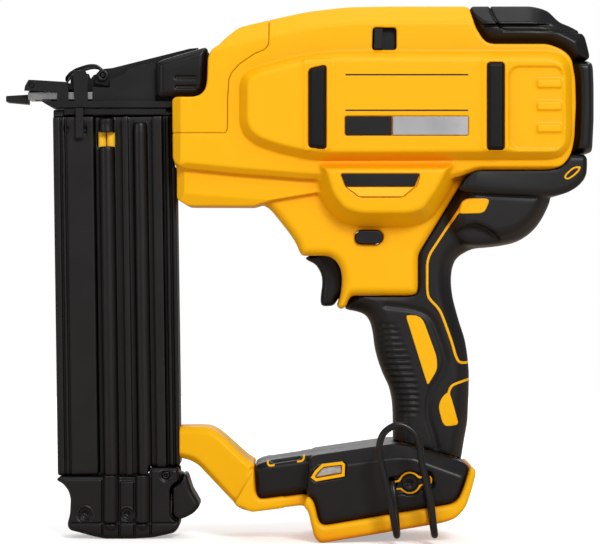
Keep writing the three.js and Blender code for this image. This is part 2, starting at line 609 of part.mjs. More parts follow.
function beltHook() {
  const [one, two] = HOOK_ENDS;
  const inner = -FOOT_HALF + 8 - GAP;
  const out = HOOK_OUT;
  const path = [
    [one[0], inner, one[1]], [one[0], inner - 7, one[1]], [48.2, -38.9, 26.5], [49.4, -40, 13],
    [49.8, -43.5, 6], [49.4, -50, 5.4], [48.6, out + 1.4, 9], [45.4, out, 26], [41.2, out, 44],
    [40.6, out, 50], [43, out, 57], [50.5, out, 61], [58, out, 57], [60.8, out, 50],
    [61.4, out, 44.5], [63.6, out, 34], [66.6, out, 20], [67.9, out + 1.4, 9.4], [68.5, -50, 5.6],
    [68.4, -43.5, 6.4], [67.4, -40, 14], [65.4, -38.9, 29], [two[0], inner - 7, two[1]],
    [two[0], inner, two[1]],
  ];
  add("belt_hook", bar(path, HOOK_WIRE_R, { sides: 8, steps: 66 }), BLACK_STEEL);
  const { x, z } = HOOK_SCREW;
  const face = -FOOT_HALF + 2.8 - GAP;
  add("belt_hook_screw", join(
    turnedY([[0, face - 3.4], [3, face - 3.4], [4, face - 2.4], [4, face], [0, face]], x, z, 20),
    rodY(x, z, 1.25, face - 1, -22, 8),
  ), BLACK_STEEL);
}

function terminalBlock() {
  const block = cut(
    box(16, 44, -13, 13, 1.4, 5.6),
    ...[-8, -3, 3, 8].map((y) => box(14, 38, y - 0.6, y + 0.6, 0, 4.4)),
  );
  add("terminal_block", fromFoot(block), BLACK_PLASTIC);
}

// ---------------------------------------------------------------- trigger and switches
function controls() {
  add("trigger", join(
    wide(TRIGGER, 8, { chamfer: 1.5 }),
    rodY(TRIGGER_PIVOT.x, TRIGGER_PIVOT.z, 2.2, -18.6, 18.6, 14),
  ), BLACK_PLASTIC);
  add("trigger_switch", join(
    box(38, 56, -7.5, 7.5, 129, 149),
    box(34.6, 39, -3, 3, 138, 141),
  ), BLACK_PLASTIC);
  add("trigger_spring", coil(23.2, 37.6, 0, 146.2, 2.4, 0.45, 5), STEEL);
  add("lock_off_button", stadium(LOCK_BUTTON, 0, -24.6, 24.6), BLACK_PLASTIC);
  add("stall_release_lever", join(
    slab([[38.5, 250.6], [38.9, 260.8], [43, 260.8], [42.6, 250.6]], -BODY_HALF - 0.6, -22),
    box(39.4, 42.4, -23, -12, 254, 257),
    box(30, 53, -26.4, -25.2, 248.6, 262.6),
  ), BLACK_PLASTIC);
}

// A coil spring along X.
function coil(x0, x1, y, z, radius, wire, turns, stepsPerTurn = 10) {
  const points = [];
  const count = turns * stepsPerTurn;
  for (let i = 0; i <= count; i++) {
    const angle = (2 * Math.PI * i) / stepsPerTurn;
    const x = x0 + wire + ((x1 - x0 - 2 * wire) * i) / count;
    points.push([x, y + radius * Math.cos(angle), z + radius * Math.sin(angle)]);
  }
  return bar(points, wire, { sides: 4, steps: count });
}

// ---------------------------------------------------------------- drive inside the housing
function drive() {
  const { x, z, r } = FLYWHEEL;
  const lug = slab([[24, 223], [28, 192], [34, 184], [46, 184], [52, 192], [56, 223]], -22, -19);
  const frame = cut(
    join(
      box(-42.4, -38.6, -22, 22, 214, 243),
      box(84, 88, -22, 22, 218, 240),
      bothSides(box(-42, 88, -22, -19, 222, 234.5)),
      bothSides(lug),
    ),
    box(-50, -30, -4, 4, 224.5, 232),
    ...[-RAIL_Y, RAIL_Y].map((y) => rodX(y, DRIVE_Z, RAIL_R + GAP, -60, 100)),
    rodY(x, z, 8 + GAP, -30, 30, 20),
  );
  add("drive_frame", frame, ALUMINIUM);
  add("guide_rail_left", rodX(-RAIL_Y, DRIVE_Z, RAIL_R, -42.2, 87.8), STEEL);
  add("guide_rail_right", rodX(RAIL_Y, DRIVE_Z, RAIL_R, -42.2, 87.8), STEEL);
  add("return_spring_left", coil(-36, 13.6, -RAIL_Y, DRIVE_Z, 4.1, 0.5, 11), STEEL);
  add("return_spring_right", coil(-36, 13.6, RAIL_Y, DRIVE_Z, 4.1, 0.5, 11), STEEL);
  add("driver", cut(
    join(
      box(14, 74, -7.5, 7.5, 222.5, 231.6),
      box(14, 30, -18.6, 18.6, 223.4, 233),
      box(-73.5, 15, -1.1, 1.1, DRIVE_Z - 1.4, DRIVE_Z + 1.4),
    ),
    ...[-RAIL_Y, RAIL_Y].map((y) => rodX(y, DRIVE_Z, RAIL_R + GAP, 0, 40)),
  ), STEEL);
  add("bumper_stop", cut(
    box(-38.2, -36.4, -9, 9, 222.8, 233.8),
    box(-40, -30, -2, 2, DRIVE_Z - 2, DRIVE_Z + 2),
  ), RUBBER);
  add("flywheel", turnedY([[3.3, 6], [19, 6], [19, -9], [r, -9], [r, 9], [8, 9], [8, 11], [3.3, 11],
    [3.3, 6]], x, z, 40), STEEL);
  add("motor_stator", turnedY([[3.3, -18], [8, -18], [8, -10], [18, -10], [18, 5.4], [3.3, 5.4],
    [3.3, -18]], x, z, 28), COPPER);
  add("motor_shaft", join(
    rodY(x, z, 2.95, -24, 24, 16),
    bothSides(rodY(x, z, 8, -22.6, -18.6, 20)),
  ), STEEL);
  add("pinch_roller", rodY(x, 238.6, 6, -7.5, 7.5, 24), STEEL);
  add("solenoid", join(box(54, 80, -9, 9, 238, 256), bothSides(box(32, 56, 8, 11, 235, 246))), COPPER);
  add("control_board", box(60.6, 62.2, -10.6, 10.6, 66, 118), BLACK_PLASTIC);
}

// ---------------------------------------------------------------- nose
function noseBlock() {
  const cheek = (outline) => bothSides(slab(outline, -12, -10));
  const lug = slab([[-109.4, 226], [-109.2, 235], [-106, 239.2], [-103.6, 240], [-99, 241.6],
    [-96.8, 236], [-96, 226]], -3, 0.5);
  return cut(
    join(
      box(-123.4, -44, -12, 12, 221.9, 225.2),
      box(-127.6, -44, -6.8, 6.8, 225, 230.8),
      cheek([[-124, 222], [-124, 230.6], [-118.3, 230.6], [-118.3, 222]]),
      cheek([[-141, 230.6], [-140.6, 233], [-138.8, 236.2], [-134, 236], [-118.3, 235], [-118.3, 230],
        [-124, 230]]),
      cheek([[-115, 222], [-116, 240.8], [-109.5, 240.9], [-108.3, 238], [-108.3, 222]]),
      wide([[-106, 225], [-106, 232.6], [-98, 232.2], [-89, 234.4], [-87, 239], [-73.4, 242.6],
        [-73.4, 225]], 10.4),
      bothSides(lug),
      bothSides(slab([[-97, 228], [-97, 236.6], [-90, 239.4], [-86.6, 242.4], [-73.2, 245.6],
        [-73.2, 243], [-68, 243], [-68, 228]], -10.4, -7.6)),
      slab([[-132.3, 225.2], [-123, 225.2], [-123, 221.9], [-126.6, 221.9]], -12, 12),
    ),
    bothSides(box(-109, -90, -9.9, -7.1, 225.6, 230.4)),
    box(-130, -40, -1.5, 1.5, DRIVE_Z - 1.9, DRIVE_Z + 1.9),
    rodY(-137.3, 233.3, 1.5, -20, 20, 12),
    rodY(LATCH_PIVOT.x, LATCH_PIVOT.z, 1.45, -20, 20, 12),
  );
}

function nose() {
  add("nose_block", noseBlock(), BLACK_STEEL);
  add("nose_cover", cut(
    wide(NOSE_COVER, NOSE_COVER_HALF, { chamfer: 3 }),
    box(-80, -40, -12.6, 12.6, 220, 243.4),
    ...[236.8, 232.2].map((z) => bothSides(box(-63, -52.3, -30, -NOSE_COVER_HALF + 0.8, z - 0.8, z + 0.8))),
  ), BLACK_PLASTIC);
  add("nose_door", join(
    wide([[-139.4, 231.8], [-139.6, 233.6], [-138.4, 235.8], [-118.6, 234.6], [-117.4, 234.6],
      [-117.4, 238.6], [-115, 238.6], [-114.6, 231.2]], 9.4),
    rodY(-137.3, 233.3, 1.15, -11.8, 11.8, 12),
  ), BLACK_STEEL);
  add("contact_trip", cut(
    join(
      box(-139.3, -136.4, -9.4, 9.4, 226.2, 229.9),
      bothSides(box(-139.3, -100, -9.4, -7.5, 226.2, 229.9)),
    ),
    rodX(0, DRIVE_Z, 1.3, -145, -130, 12),
  ), STEEL);
  add("no_mar_tip", cut(
    slab([[-151, 225.2, 0.5], [-151, 228.2, 0.5], [-139.7, 228.9], [-139.7, 224.2]], -6, 6),
    box(-152, -130, -1.3, 1.3, DRIVE_Z - 1.4, DRIVE_Z + 4),
  ), RUBBER);
  add("trip_link", join(
    box(-120.5, -68, -11, -8.4, 218.2, 221.4),
    box(-114.3, -110.3, -15, -8.4, 218.2, 221.4),
    box(-114.3, -110.3, -15, -13, 206, 219),
  ), BLACK_STEEL);
}

function latch() {
  const { x, z } = LATCH_PIVOT;
  add("jam_latch", cut(
    wide([[-105, 234.6], [-104.2, 239.6], [-102, 242], [-96, 242.6], [-56, 252.6], [-51.6, 253],
      [-51.6, 250.9], [-66.5, 246.9], [-73.5, 244.6], [-88.6, 240.6], [-90.5, 235.6], [-98, 233.4]], 7),
    box(-110, -94.5, -3.4, 3.4, 225, 242.6),
    rodY(x, z, 1.45, -20, 20, 12),
  ), BLACK_STEEL);
  add("latch_pin", rodY(x, z, 1.1, -9.6, 9.6, 12), BLACK_STEEL);
  const eye = bothSides(cut(rodY(x, z, 2.9, -9.2, -7.5, 16), rodY(x, z, 1.45, -20, 20, 12)));
  const leg = [[x + 0.2, -8.2, z + 1.9], [-102.6, -8.2, 243], [-106, -8.2, 244.2], [-111, -8, 243],
    [-116, -7.6, 241.2], [-119.2, -6.4, 238.4], [-119.8, -4.6, 236.9], [-119.9, -2, 236.6]];
  const wire = [...leg, ...leg.map(([px, py, pz]) => [px, -py, pz]).reverse()];
  add("latch_bail", join(eye, bar(wire, 0.8, { sides: 6, steps: 44 })), BLACK_STEEL);
}

// ---------------------------------------------------------------- magazine
// In the magazine's own frame x runs across it, z runs up it, and 0, 0 is the middle of its top.
function magazine() {
  const end = MAGAZINE_LOW;
  const capNotch = box(13.4, 40, -20, 20, end - 1, end + 4.6); // room for the end cap's rear block
  add("magazine_track", cut(
    join(
      box(-33.2, -12, -12, 14, end, -4.6),
      box(-12.5, 23.8, 1.2, 14, end, -4.6),
      box(23.3, 28.4, -12, 14, end, -4.6),
      box(27, 29.2, -12, 14, end, -34),
      box(-33.2, 28.4, -7.9, 14, -4.7, -0.9),
      box(-33.2, 0, -7.9, 14, -1, -0.5),
    ),
    box(-25, 26.4, -0.9, 0.9, -HUGE, HUGE),
    ...[-29.4, -26.6, 24.6, 27.2].map((x) => box(x, x + 0.8, -20, -10.4, -HUGE, HUGE)),
    capNotch,
  ), ANODISED, magazineGroup);
  add("magazine_cover", cut(
    join(
      box(-11.6, 22.9, -11, -1.2, end, -5),
      rodZ(-5.4, -11.5, 4.1, end, -6),
      rodZ(11.8, -11.5, 3.8, end, -8),
      box(2.7, 5.7, -14.4, -10, end, -5),
      box(18.1, 22.9, -13.6, -10, end, -5),
    ),
    box(-8.6, 19.6, -9.5, -1, -HUGE, HUGE),
    box(-9.8, -1, -20, -9, -21.5, -12.5),
    capNotch,
  ), ANODISED, magazineGroup);
  add("pusher", join(
    box(-24.6, 26, -0.55, 0.55, -44, -9),
    box(-8.1, 19.1, -7.7, 0.55, -44, -10),
  ), BLACK_PLASTIC, magazineGroup);
  add("pusher_tab", cut(
    box(-8.1, 1.5, -9.2, -8.05, -22, -12),
    box(-6.2, -5.2, -10, -8.6, -30, 0),
  ), YELLOW, magazineGroup);
}

function endCap() {
  add("end_cap", cut(
    join(
      wide(END_CAP, CAP_HALF, { chamfer: 3 }),
      ...CAP_COLUMNS.map(([x, radius]) => rodZ(x, -CAP_HALF + 3, radius, 4.5, 31)),
    ),
    slab(CAP_LEVER, -20, 20, { inset: -1.1 }),
    box(-74, -56, -5.6, 5.6, 18.6, 41),
    ...CAP_SCREWS.map(([x, z]) =>
      join(rodY(x, z, 1.6, -20, 4, 10), rodY(x, z, 3.3, -20, -CAP_HALF + 2.4, 16))),
    rodY(CAP_PIVOT.x, CAP_PIVOT.z, 2.3, -20, 20, 14),
  ), BLACK_PLASTIC);
  CAP_SCREWS.forEach(([x, z], i) => {
    const seat = -CAP_HALF + 2.4 - GAP;
    add(i ? "cap_screw_rear" : "cap_screw_front", join(
      turnedY([[0, seat - 1.7], [2.3, seat - 1.7], [2.9, seat - 1.1], [2.9, seat], [0, seat]], x, z, 16),
      rodY(x, z, 1.25, seat - 0.5, 3, 8),
    ), BLACK_STEEL);
  });
  add("magazine_latch", join(
    wide(CAP_LEVER, 14.5, { chamfer: 1.5 }),
    wide([[-71.2, 33], [-67.9, 36.2], [-58, 33], [-59.5, 24], [-64.5, 20]], 5),
    rodY(CAP_PIVOT.x, CAP_PIVOT.z, 1.95, -CAP_HALF + 0.4, CAP_HALF - 0.4, 14),
  ), BLACK_PLASTIC);
}

housing();
frontCover();
grip();
pads();
rearPieces();
footCovers();
lamps();
beltHook();
terminalBlock();
controls();
drive();
nose();
latch();
magazine();
endCap();

export default nailer;
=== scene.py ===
import json
import math
from contextlib import contextmanager

import bmesh
import bpy
import numpy as np
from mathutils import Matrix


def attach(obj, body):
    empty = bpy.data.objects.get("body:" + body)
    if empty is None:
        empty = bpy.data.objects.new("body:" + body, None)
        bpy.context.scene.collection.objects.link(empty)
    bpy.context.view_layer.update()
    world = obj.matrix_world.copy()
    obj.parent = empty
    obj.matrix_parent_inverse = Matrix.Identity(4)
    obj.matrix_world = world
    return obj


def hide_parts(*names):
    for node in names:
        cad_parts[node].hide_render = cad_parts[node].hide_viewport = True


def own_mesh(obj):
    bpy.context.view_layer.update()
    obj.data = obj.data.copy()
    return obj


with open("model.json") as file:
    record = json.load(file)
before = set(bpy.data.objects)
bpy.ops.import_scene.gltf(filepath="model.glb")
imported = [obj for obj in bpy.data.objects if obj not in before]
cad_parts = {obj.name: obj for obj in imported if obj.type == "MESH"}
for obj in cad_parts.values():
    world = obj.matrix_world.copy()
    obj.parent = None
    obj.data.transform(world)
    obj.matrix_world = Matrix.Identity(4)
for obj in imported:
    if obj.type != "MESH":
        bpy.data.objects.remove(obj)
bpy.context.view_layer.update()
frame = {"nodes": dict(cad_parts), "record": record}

import openvdb
from mathutils import Matrix, Vector

MM = 0.001
SX = 91.5  # the drawing's x = 0 lies this far along +X in the row frame, in mm
FINE = 0.62  # grid step of the moulded shapes, in mm
BEYOND = 60  # past the half width of every moulding, in mm
FOOT_TILT = math.radians(9.5)  # the foot's floor rises towards the rear
FOOT_CORNER_X = 12
MAGAZINE_LEAN = math.radians(0.8)
MAGAZINE_TOP = (-93.2, 222)


def placed(name, data):
    """A new object in the scene."""
    obj = bpy.data.objects.new(name, data)
    bpy.context.scene.collection.objects.link(obj)
    return obj


# ---- materials
def tune(node, **values):
    """Sets a shader node's properties, or else its inputs' values."""
    for key, value in values.items():
        if hasattr(node, key):
            setattr(node, key, value)
        else:
            node.inputs[key.replace("_", " ")].default_value = value
    return node


def material(name, color, rough, metal=0.0, grain=2600.0, bump=0.05, spread=0.08, mottle=0.06,
             distance=0.00006, specular=0.5, crease_shade=None, spread_of_shade=0.007, patches=38.0):
    """A procedural finish: a fine grain in the bump, uneven roughness and a faint mottle in the colour.

    `crease_shade` is painted shade: the colour that it deepens to in sheltered corners, where shade
    falls, within `spread_of_shade` metres.
    """
    made = bpy.data.materials.new(name)
    made.use_nodes = True
    made.diffuse_color = (*color, 1)
    tree = made.node_tree

    def add(kind, **values):
        return tune(tree.nodes.new("ShaderNode" + kind), **values)

    def link(source, output, target, socket):
        tree.links.new(source.outputs[output], target.inputs[socket])

    shader = tune(tree.nodes["Principled BSDF"], Base_Color=(*color, 1), Roughness=rough, Metallic=metal,
                  Specular_IOR_Level=specular)
    where = add("TexCoord")
    fine = add("TexNoise", Scale=grain, Detail=2.0)
    broad = add("TexNoise", Scale=patches, Detail=5.0, Roughness=0.62)
    for noise in (fine, broad):
        link(where, "Object", noise, "Vector")
    roughness = add("MapRange", From_Min=0.3, From_Max=0.7, To_Min=rough - spread / 2,
                    To_Max=rough + spread / 2)
    link(broad, "Fac", roughness, "Value")
    link(roughness, "Result", shader, "Roughness")
    painted = add("MixRGB", Color1=(*[c * (1 - mottle) for c in color], 1),
                  Color2=(*[min(1, c * (1 + mottle)) for c in color], 1))
    link(broad, "Fac", painted, "Fac")
    # painted shade: an ambient-occlusion mask darkens the colour towards `crease_shade` in sheltered
    # corners and grooves
    if crease_shade:
        shelter = add("AmbientOcclusion", samples=8, Distance=spread_of_shade)
        open_ = add("MapRange", From_Min=0.42, From_Max=0.98)
        deep = add("MixRGB", Color1=(*crease_shade, 1))
        link(shelter, "AO", open_, "Value")
        link(open_, "Result", deep, "Fac")
        link(painted, "Color", deep, "Color2")
        painted = deep
    link(painted, "Color", shader, "Base Color")
    rise = add("Bump", Strength=bump, Distance=distance)
    link(fine, "Fac", rise, "Height")
    link(rise, "Normal", shader, "Normal")
    return made


def srgb(r, g, b):
    """A screen colour, 0 to 255, in linear light."""
    return tuple(((c / 255 + 0.055) / 1.055) ** 2.4 if c > 10 else c / 255 / 12.92 for c in (r, g, b))


# The colours given as crease below are painted shade: darker tones, more orange for the yellow, laid
# into sheltered corners and grooves where shade falls.
YELLOW = material("yellow_moulding", srgb(247, 184, 4), 0.42, bump=0.2, mottle=0.03, specular=0.18,
                  crease_shade=srgb(234, 147, 7), spread_of_shade=0.014)
TAB = material("indicator_yellow", srgb(252, 196, 40), 0.4, bump=0.1, mottle=0.03, specular=0.3)
PAD = material("pad_rubber", srgb(9, 9, 11), 0.5, bump=0.5, grain=1900, mottle=0.12, specular=0.2)
BLACK = material("black_moulding", srgb(19, 19, 22), 0.38, bump=0.35, mottle=0.12, specular=0.3,
                 crease_shade=srgb(2, 2, 2))
RUBBER = material("grip_rubber", srgb(18, 18, 21), 0.46, bump=0.6, grain=1900, mottle=0.12, specular=0.3,
                  crease_shade=srgb(3, 3, 3))
ANODISED = material("anodised_black", srgb(14, 14, 16), 0.42, bump=0.15, mottle=0.15, specular=0.34,
                    crease_shade=srgb(1, 1, 1))
BLACK_STEEL = material("blackened_steel", srgb(28, 28, 31), 0.36, metal=0.4, bump=0.2, mottle=0.2,
                       crease_shade=srgb(2, 2, 2))
STEEL = material("bright_steel", srgb(196, 198, 202), 0.28, metal=1.0, bump=0.1, spread=0.14)
ALUMINIUM = material("brushed_aluminium", srgb(186, 188, 192), 0.38, metal=1.0, bump=0.2)
COPPER = material("wound_copper", srgb(150, 92, 52), 0.4, metal=0.9, bump=0.3)
# The lens's strong fine mottle, from near black to white, is a painted reflection pattern that stands in
# for the lamp's reflector behind it.
LENS = material("lamp_lens", srgb(200, 204, 210), 0.12, metal=0.4, bump=0.8, grain=420, distance=0.0006,
                mottle=0.95, patches=330.0)
BOARD = material("circuit_board", srgb(22, 70, 44), 0.45, bump=0.2)
SLOT_LOOK = {
    "yellow_plastic": YELLOW, "black_plastic": BLACK, "rubber": RUBBER, "anodised": ANODISED,
    "black_steel": BLACK_STEEL, "steel": STEEL, "aluminium": ALUMINIUM, "copper": COPPER, "lens": LENS,
}
SLOT_OF = {part["node"]: part["material_slot"] for part in frame["record"]["subparts"]}
BODY_OF = {
    node: body for body, nodes in frame["record"]["behaviour"]["bodies"].items() for node in nodes
}


# ---- pieces
drawn = set()  # the CAD nodes that a piece stands for


def as_piece(mesh, node, look=None, replaced=None, slot=None):
    """A mesh as a piece on a CAD node's body. It stands for that node, or for those in `replaced`."""
    obj = placed(mesh.name, mesh)
    slot = slot or SLOT_OF[node]
    replaced = (node,) if replaced is None else replaced
    mesh.materials.clear()
    mesh.materials.append(look or SLOT_LOOK[slot])
    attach(obj, BODY_OF[node])
    if replaced:
        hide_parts(*replaced)
        drawn.update(replaced)
    return obj


def bevel(obj, width):
    """Softens the sharp edges by `width` mm."""
    made = obj.modifiers.new("edges", "BEVEL")
    made.width = width * MM
    made.segments = 2
    made.limit_method = "ANGLE"
    made.angle_limit = math.radians(28)
    made.harden_normals = True


@contextmanager
def opened(mesh):
    """A mesh's faces and edges to work on, written back at the end."""
    work = bmesh.new()
    work.from_mesh(mesh)
    yield work
    work.to_mesh(mesh)
    work.free()


def mesh_of(name, verts, faces):
    """A mesh in metres with all its faces turned outwards."""
    mesh = bpy.data.meshes.new(name)
    mesh.from_pydata(verts, [], faces)
    with opened(mesh) as work:
        bmesh.ops.recalc_face_normals(work, faces=work.faces)
    return mesh


def smooth_by_angle(mesh, degrees=32):
    """Smooth shading, broken at the edges that are sharper than `degrees`."""
    with opened(mesh) as work:
        for face in work.faces:
            face.smooth = True
        for edge in work.edges:
            edge.smooth = len(edge.link_faces) == 2 and edge.calc_face_angle(0) < math.radians(degrees)


def dress(node, width, look):
    """A copy of a CAD node, welded, with soft edges and its finish, in the node's place."""
    mesh = frame["nodes"][node].data.copy()
    with opened(mesh) as work:
        bmesh.ops.remove_doubles(work, verts=work.verts, dist=2e-6)
        bmesh.ops.dissolve_limit(work, angle_limit=math.radians(0.6), verts=work.verts, edges=work.edges)
    if "custom_normal" in mesh.attributes:
        mesh.attributes.remove(mesh.attributes["custom_normal"])
    smooth_by_angle(mesh)
    mesh.name = node + "_look"
    obj = as_piece(mesh, node, look)
    if width:
        bevel(obj, width)
    return obj


# ---- moulded shapes from distance fields
def soften(points, reach=1.5, closed=True):
    """An outline, or an open line, with each corner cut back, twice, by at most `reach` mm."""
    points = np.array(points, float)
    for _ in range(2):
        new = []
        for before, here, after in zip(np.roll(points, 1, 0), points, np.roll(points, -1, 0)):
            for other in (before, after):
                length = np.linalg.norm(other - here)
                new.append(here + (other - here) * min(reach / length, 0.3))
        points = np.array(new if closed else [points[0], *new[2:-2], points[-1]])
        reach *= 0.42 if closed else 0.45
    return points


def to_segment(axes, start, end):
    """Distance to a straight stretch between two points, in the plane or in space."""
    way = end - start
    off = [axis - at for axis, at in zip(axes, start)]
    share = np.clip(sum(o * w for o, w in zip(off, way)) / max(way.dot(way), 1e-12), 0, 1)
    return np.sqrt(sum((o - w * share) ** 2 for o, w in zip(off, way)))


def outline_distance(points, xs, zs):
    """Signed distance to a closed outline on a grid, negative inside, as (x, 1, z)."""
    X, Z = np.meshgrid(xs, zs, indexing="ij")
    nearest = np.full(X.shape, 1e9)
    inside = np.zeros(X.shape, bool)
    for here, there in zip(points, np.roll(points, -1, 0)):
        nearest = np.minimum(nearest, to_segment((X, Z), here, there))
        (ax, az), (bx, bz) = here, there
        if az != bz:
            crosses = (az > Z) != (bz > Z)
            inside ^= crosses & (X < ax + (Z - az) * (bx - ax) / (bz - az))
    return (nearest * np.where(inside, -1, 1))[:, None, :].astype(np.float32)


def smin(a, b, k):
    """The smaller of two distances, blended over k mm, which joins two shapes."""
    if k <= 0:
        return np.minimum(a, b)
    h = np.clip(0.5 + 0.5 * (b - a) / k, 0, 1)
    return b + (a - b) * h - k * h * (1 - h)


def smax(a, b, k):
    """The larger of two distances, blended over k mm, which keeps what two shapes share."""
    return -smin(-a, -b, k)


def cut(shape, tool, k=0):
    """A shape without what lies inside a tool."""
    return smax(shape, -tool, k)


class Field:
    """Distances on a grid over x, t and z in mm, where t is the distance from the parting plane."""

    def __init__(self, low, high, step):
        self.low = np.array(low, float)
        self.step = np.array(step if isinstance(step, (list, tuple)) else [step] * 3, float)
        counts = np.ceil((np.array(high) - self.low) / self.step).astype(int) + 1
        self.x, self.t, self.z = (self.low[i] + self.step[i] * np.arange(counts[i]) for i in range(3))
        self.X = self.x[:, None, None].astype(np.float32)
        self.T = self.t[None, :, None].astype(np.float32)
        self.Z = self.z[None, None, :].astype(np.float32)

    def flat(self, points, grow=0.0, reach=1.5):
        """Distance in the drawing from an outline, grown by `grow`."""
        shape = soften(points, reach) if reach else np.array(points, float)
        return outline_distance(shape, self.x, self.z) - grow

    def slab(self, points, half, chamfer=0.0, drop=None, edge=0.8, grow=0.0, reach=1.5, start=None):
        """An outline drawn out to t = half, its edge chamfered and then rounded."""
        flat = self.flat(points, grow, reach)
        made = smax(flat, self.T - half, edge)
        if chamfer:
            drop = drop or chamfer
            slope = flat * drop + (self.T - half) * chamfer + chamfer * drop
            made = smax(made, slope / math.hypot(drop, chamfer), edge)
        if start is not None:
            made = np.maximum(made, start - self.T)
        return made

    def box(self, x0, x1, t0, t1, z0, z1, edge=0.0):
        made = np.maximum(x0 - self.X, self.X - x1)
        for other in (t0 - self.T, self.T - t1, z0 - self.Z, self.Z - z1):
            made = smax(made, other, edge) if edge else np.maximum(made, other)
        return made

    def around(self, x, z):
        return np.hypot(self.X - x, self.Z - z)

    def rod(self, x, z, radius, t0=-99.0, t1=99.0):
        return np.maximum(self.around(x, z) - radius, np.maximum(t0 - self.T, self.T - t1))

    def mesh(self, name, distance, side=-1):
        """The zero surface as a mesh in metres in the row frame. side -1 puts t on the hook side."""
        padded = np.pad(np.broadcast_to(distance, (self.x.size, self.t.size, self.z.size)), 1,
                        constant_values=5.0)
        grid = openvdb.FloatGrid(5.0)
        grid.copyFromArray(np.clip(padded, -5, 5).astype(np.float32))
        points, triangles, quads = grid.convertToPolygons(isovalue=0.0, adaptivity=0.0)
        points = (points - 1) * self.step + self.low
        points = np.stack([points[:, 0] + SX, points[:, 1] * side, points[:, 2]], 1) * MM
        faces = triangles.tolist() + quads.tolist()
        if side > 0:
            faces = [f[::-1] for f in faces]
        mesh = bpy.data.meshes.new(name)
        mesh.from_pydata(points.tolist(), [], faces)
        mesh.update()
        return mesh


def keep_largest(mesh):
    """Drops the specks that the grid leaves beside a thin wall, and smooths the rest."""
    with opened(mesh) as work:
        left = set(work.verts)
        groups = []
        while left:
            group = [left.pop()]
            for vert in group:
                for edge in vert.link_edges:
                    other = edge.other_vert(vert)
                    if other in left:
                        left.remove(other)
                        group.append(other)
            groups.append(group)
        for group in sorted(groups, key=len)[:-1]:
            bmesh.ops.delete(work, geom=group, context="VERTS")
        bmesh.ops.recalc_face_normals(work, faces=work.faces)
        for face in work.faces:
            face.smooth = True


def moulded(node, field, distance, side=-1, name=None, reduce=0.35, **kinds):
    """A field's zero surface as a piece on a node's body, with `reduce` of its faces kept."""
    mesh = field.mesh(name or node + "_look", distance, side)
    keep_largest(mesh)
    fewer = as_piece(mesh, node, **kinds).modifiers.new("fewer", "DECIMATE")
    fewer.ratio = reduce


def yellow(name, node, field, distance, side=-1, reduce=0.5):
    """A yellow detail on the body of a node that another piece stands for."""
    moulded(node, field, distance, side, name, reduce, replaced=(), slot="yellow_plastic")


# ---- outlines, in mm
PARTING = 0.15  # how far each half stops short of the parting plane
SHELL_HALF = 31  # half widths, from the parting plane
REAR_HALF = 31.5
LOWER_HALF = 25
FOOT_NOSE_HALF = 26
COVER_HALF = 36.5
CORE_HALF = 14.6
BODY = [
    (-14.6, 266.1), (5, 270.3), (25, 272.6), (45, 273), (87, 273), (88, 269.5), (90, 262),
    (94.5, 254.8), (98, 253.2), (127, 253.2), (134.5, 250.3), (139, 246), (141, 235), (141.3, 222),
    (140.5, 205), (139, 197.8), (136.5, 193), (132.5, 190), (127, 189), (92, 189), (88, 187.8),
    (84.5, 184), (62, 147), (61.5, 144.5), (61.5, 128.5), (60.5, 126), (58, 125.2), (28.5, 125.2),
    (26.3, 124), (24, 118.2), (19.8, 118.4), (21.6, 124), (22.6, 131), (22.4, 137), (20.8, 141.5),
    (17.5, 144.8), (14, 145.6), (3, 145.6), (1.3, 146.3), (-1, 152.3), (-5, 158.2), (-14, 169.5),
    (-17.5, 172), (-19.5, 172), (-22, 170.9), (-55.5, 171), (-60.7, 174.5), (-62, 190.5),
    (-63.8, 193.5), (-64.3, 207.7), (-35.2, 207.7), (-34.9, 235), (-29.6, 242.6), (-21.8, 247.9),
    (-14.6, 251.9),
]
SHELL = BODY[1:20] + [  # the wide upper part, with the front cover in it
    (80, 185), (7, 184), (-30, 186.5), (-58, 189.5), (-63.8, 193.5), (-64.3, 226.3), (-51.8, 226.3),
    (-47.8, 228.6), (-46.3, 233), (-45.8, 247), (-43.5, 251.2), (-41, 252), (-37.5, 256), (-30, 262.3),
    (-14.6, 266.1),
]
COVER_SIDE = [  # where the front cover is parted from the housing, running out past its free edges
    (-90, 207.9), (-90, 300), (-14.8, 300), (-14.8, 256), (-15.2, 252.4), (-17, 250.2), (-22, 248.2),
    (-29.9, 242.8), (-33.8, 238.3), (-35.2, 235.1), (-35.7, 227), (-35.9, 210), (-36.9, 207.9),
]
CROWN = [  # the line of the long chamfer along the top, closed far below
    (-95, 100), (-95, 247.2), (-14.6, 266.1), (5, 270.3), (25, 272.6), (45, 273), (122, 273),
    (150, 260), (160, 100),
]
SHELL_FLOOR = [  # the line of its lower edge, closed far above
    (-70, 185), (-58, 189.8), (-30, 187), (7, 184.2), (80, 184.2), (92, 188), (160, 188), (160, 300),
    (-70, 300),
]
PROW = [(-64.3, 100), (-64.3, 300), (160, 300), (160, 100)]  # the front edge's own chamfer
LOWER_FRONT = [
    (-62.7, 192), (-62, 174.5), (-56.5, 171), (-22, 170.9), (-19.5, 172), (-12, 174), (12, 178),
    (20, 192),
]
LOWER_CREASE = [  # its lower chamfer narrows to the rear
    (-90, 200), (-90, 171), (-22, 165.8), (40, 161), (40, 200),
]
LOWER_PROW = [(-62, 100), (-62, 300), (160, 300), (160, 100)]
PANEL = [
    (-30, 210), (-30, 236), (-24, 240.5), (0, 247), (20, 249.3), (130, 249.3), (137, 246), (139, 240),
    (139.5, 205), (137, 198), (131, 194), (8, 193.5), (-12, 198), (-24, 202.5),
]
GAUGE_PLATE = [
    (6, 190), (11, 173), (19, 163), (30, 159.5), (58, 159.5), (68, 163), (77, 176), (84, 190),
    (84, 197), (6, 197),
]
NOSE_COVER = [
    (-72.7, 227), (-72.7, 242.4), (-71.5, 243.6), (-67, 245.2), (-46.3, 251.2), (-46.6, 247),
    (-47.1, 233), (-48.6, 229.2), (-52, 227),
]
